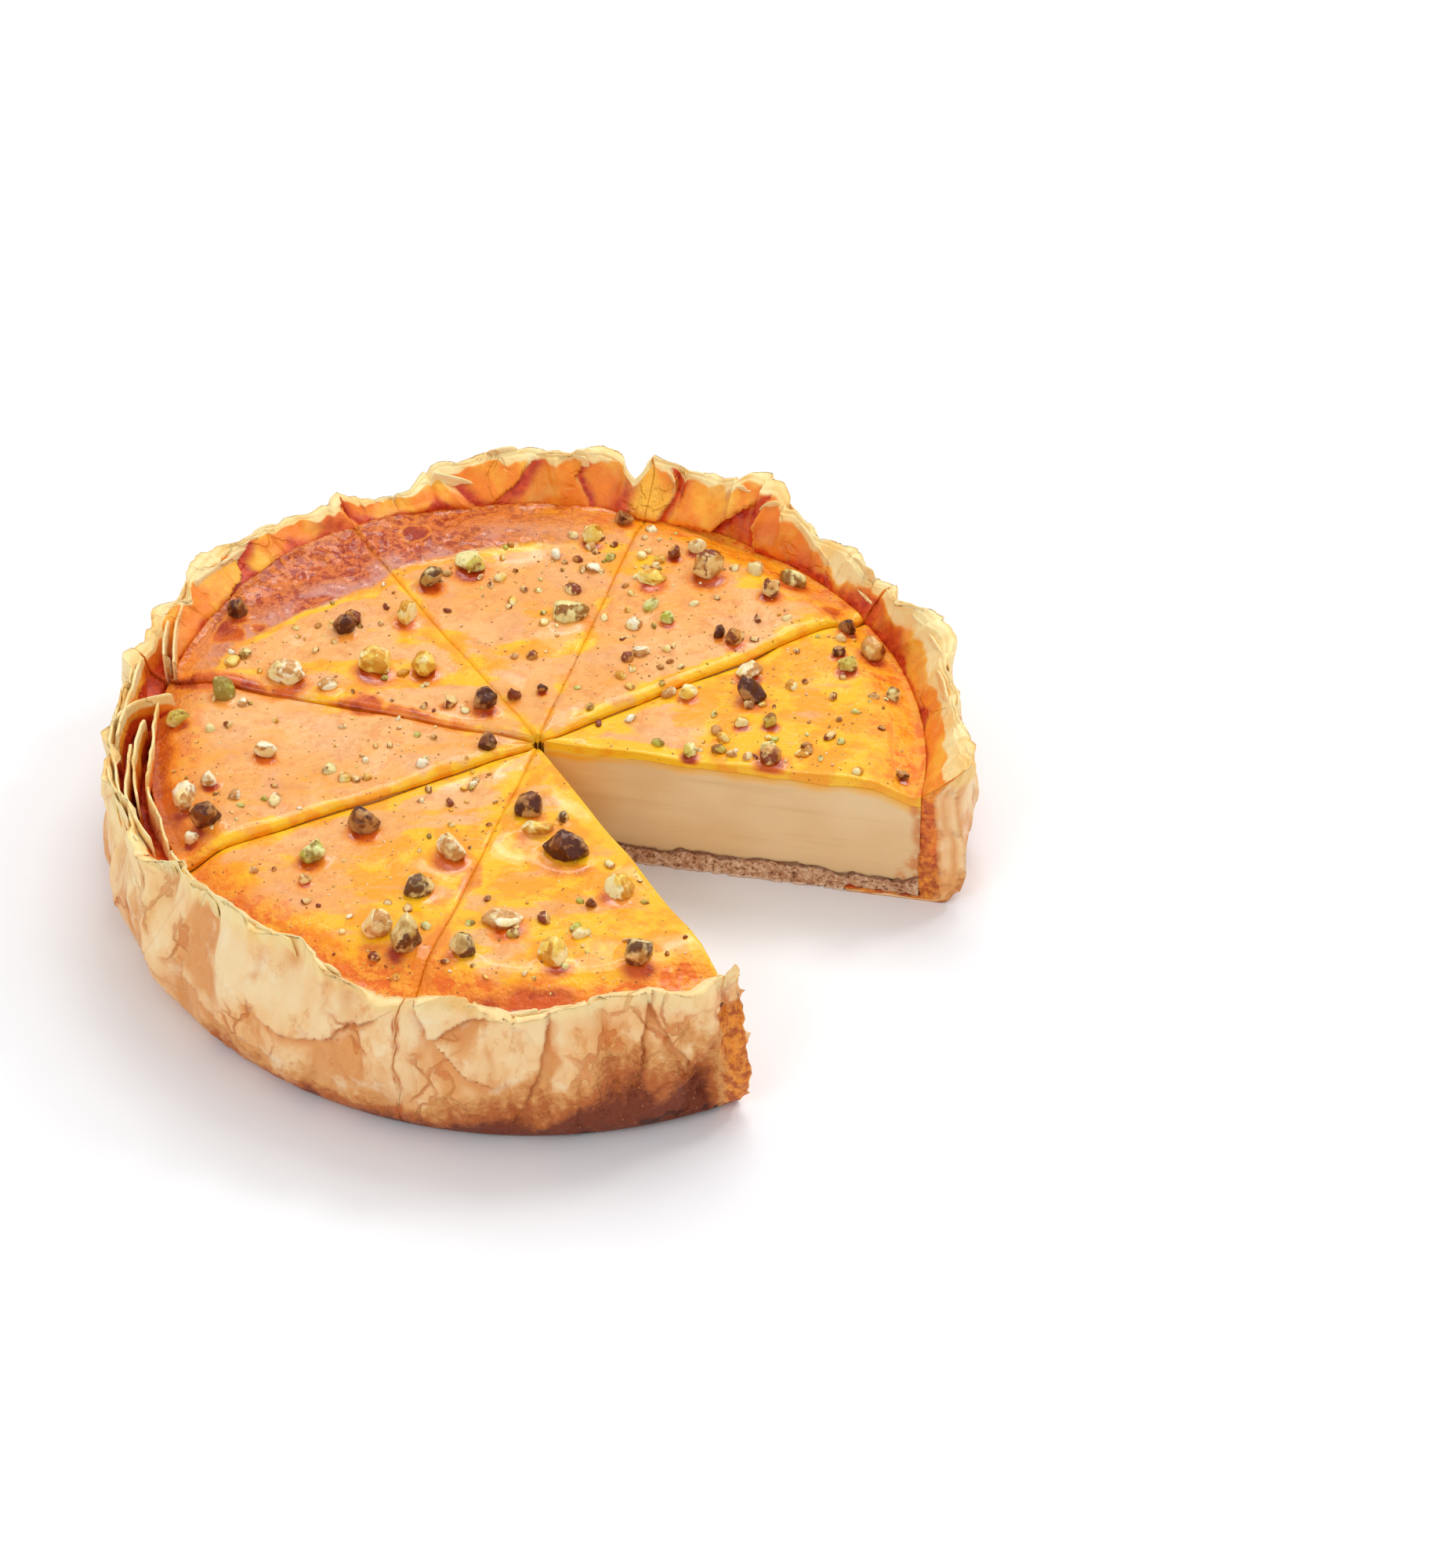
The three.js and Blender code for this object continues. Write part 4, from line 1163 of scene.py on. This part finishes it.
def looseSheets(draw, start, end):
    # sheets placed against the crest at random, long ones first: the size, the top edge and the lean of each
    rows = []
    sizes = [size for size, (count, _, _) in standingSheets["loose"].items() for _ in range(count)]
    for size in sizes:
        width = draw.uniform(*standingSheets["loose"][size][1:]) * (end - start - 1.6)
        azimuth = draw.uniform(start + 0.8, end - 0.8 - width) + width * np.array([0, 0.5, 1])
        top, rim = crestAt(azimuth)
        rim = rim + draw.uniform(-1.8, 0.1) + draw.normal(0, 0.2, 3)
        top = top + draw.uniform(-2.4, 0.2) + draw.normal(0, 0.3, 3)
        rows.append((size, list(zip(azimuth, rim, top)), draw.uniform(1.5, 3.5)))
    return rows


def makeSheets():
    draw = np.random.default_rng(23)
    skins = {size: blockSkin(steps) for size, steps in standingSheets["steps"].items()}
    byHand = [("long", *row) for row in standingSheets["byHand"]]
    for number, (start, end, _) in enumerate(cake["slices"], 1):
        rows = [row for row in byHand if start < np.mean([point[0] for point in row[1]]) < end]
        places, faceSets, begin = [], [], 0
        values = {"inside": [], "soakedAndShade": [], "paintedShade": []}
        for k, (size, points, lean) in enumerate(rows + looseSheets(draw, start, end)):
            (through, along, up), quads = skins[size]
            azimuth, radius, top = (alongKnots([point[n] for point in points], along) for n in range(3))
            azimuth = np.clip(azimuth, start + 0.25, end - 0.25)
            arc = alongCrest(azimuth)
            fromEnd = 0.5 - np.abs(along - 0.5)
            length = alongCrest(abs(points[-1][0] - points[0][0]))
            fall = smooth(min(0.45, 3 / length), 0, fromEnd) ** 1.5 * (4 if size == "long" else 7)
            tall = top - fall + 0.6 * crestEdge(arc, 3 + k) + 0.4
            height = tall - standingSheets["deep"] * (1 - up)
            waves = 0.5 * roughCloud(arc, height * 0.3, k, 9, 71)
            radius = radius - lean * (1 - up) ** 1.5 + waves + (through - 0.5) * standingSheets["thickness"]
            radius = np.minimum(radius, crestAt(azimuth)[1] - 0.7 - 2.4 * (1 - up) + 0.3 * through)
            places.append(aroundAxis(radius, azimuth, height))
            faceSets.append(quads + begin)
            begin += len(up)
            amber = smooth(0.9, 0.45, up + 0.1 * cloud(arc, k, 0, 6, 73))
            values["inside"].append((1 - 0.55 * through) * amber)
            # their lower parts dark red: soaked, and painted shade deep between the sheets
            values["soakedAndShade"].append(0.8 * smooth(0.6, 0.25, up + 0.12 * cloud(arc, k, 4, 6, 74)))
            # painted shade in the troughs of each sheet's waves
            values["paintedShade"].append(0.5 * smooth(0.2, -0.5, waves))
        values = {title: np.concatenate(numbers) for title, numbers in values.items()}
        values["buttery"] = 0.8 if 130 < start < 220 else 0.5   # the left side's are paler
        makeLayer("pastrySheets", "pastry", number, np.concatenate(places), faceSets, values)


makeSheets()
print("sheets made")


# Floor, light and camera

def makeFloor():
    board = Board("floor", **{"Roughness": 0.8, "Base Color": paint((246, 246, 248))})
    mesh = bpy.data.meshes.new("floor")
    mesh.from_pydata([(-4, -4, 0), (4, -4, 0), (4, 4, 0), (-4, 4, 0)], [], [(0, 1, 2, 3)])
    mesh.materials.append(board.material)
    floor = bpy.data.objects.new("floor", mesh)
    bpy.context.scene.collection.objects.link(floor)


lights = {   # soft panels that face the cake: place, width and height in metres, and how bright the face is
    "back": ((0.35, 1.0, 1.9), (1.2, 0.9), 4.2),
    "strip": ((0, 1.25, 1.6), (0.7, 0.08), 9.0),
    "front": ((-0.8, -1.3, 1.5), (0.7, 0.5), 4.5),
    "key": ((0.9, 0.5, 1.1), (0.24, 0.24), 18.0),
}


def makeLight(name, place, size, radiance):
    # its power is its brightness times pi times its area
    light = bpy.data.lights.new(name, "AREA")
    light.shape, light.size, light.size_y = "RECTANGLE", *size
    light.energy = radiance * np.pi * size[0] * size[1]
    lamp = bpy.data.objects.new(name, light)
    lamp.location = place
    away = np.subtract(place, view["aim"])
    flat = np.hypot(away[0], away[1])
    lamp.rotation_euler = (np.arctan2(flat, away[2]), 0, np.arctan2(away[0], -away[1]))
    bpy.context.scene.collection.objects.link(lamp)


view = {
    "elevation": 40.614,
    "distance": 2.0,
    "target": (0.05476, 0.03296, 0.0),
    "focalLength": 145.02,   # on the sensor's long side
    "sensor": 36,
    "aim": (0, 0, 0.04),     # of the lights
    "sky": (0.96, 0.98, 1.0, 1),
    "skyStrength": 0.74,
}


def makeCamera():
    lens = bpy.data.cameras.new("camera")
    lens.lens, lens.sensor_width = view["focalLength"], view["sensor"]
    camera = bpy.data.objects.new("camera", lens)
    tilt = np.radians(view["elevation"])
    camera.location = np.add(view["target"], view["distance"] * np.array([0, -np.cos(tilt), np.sin(tilt)]))
    camera.rotation_euler = (np.pi / 2 - tilt, 0, 0)
    bpy.context.scene.collection.objects.link(camera)
    bpy.context.scene.camera = camera


def makeWorld():
    world = bpy.data.worlds.new("studio")
    world.use_nodes = True
    sky = world.node_tree.nodes["Background"]
    sky.inputs["Color"].default_value = view["sky"]
    sky.inputs["Strength"].default_value = view["skyStrength"]
    bpy.context.scene.world = world


makeFloor()
makeWorld()
for name, (place, size, radiance) in lights.items():
    makeLight(name, place, size, radiance)
makeCamera()
print("floor, lights and camera made")
bpy.context.scene.view_settings.view_transform = "Standard"
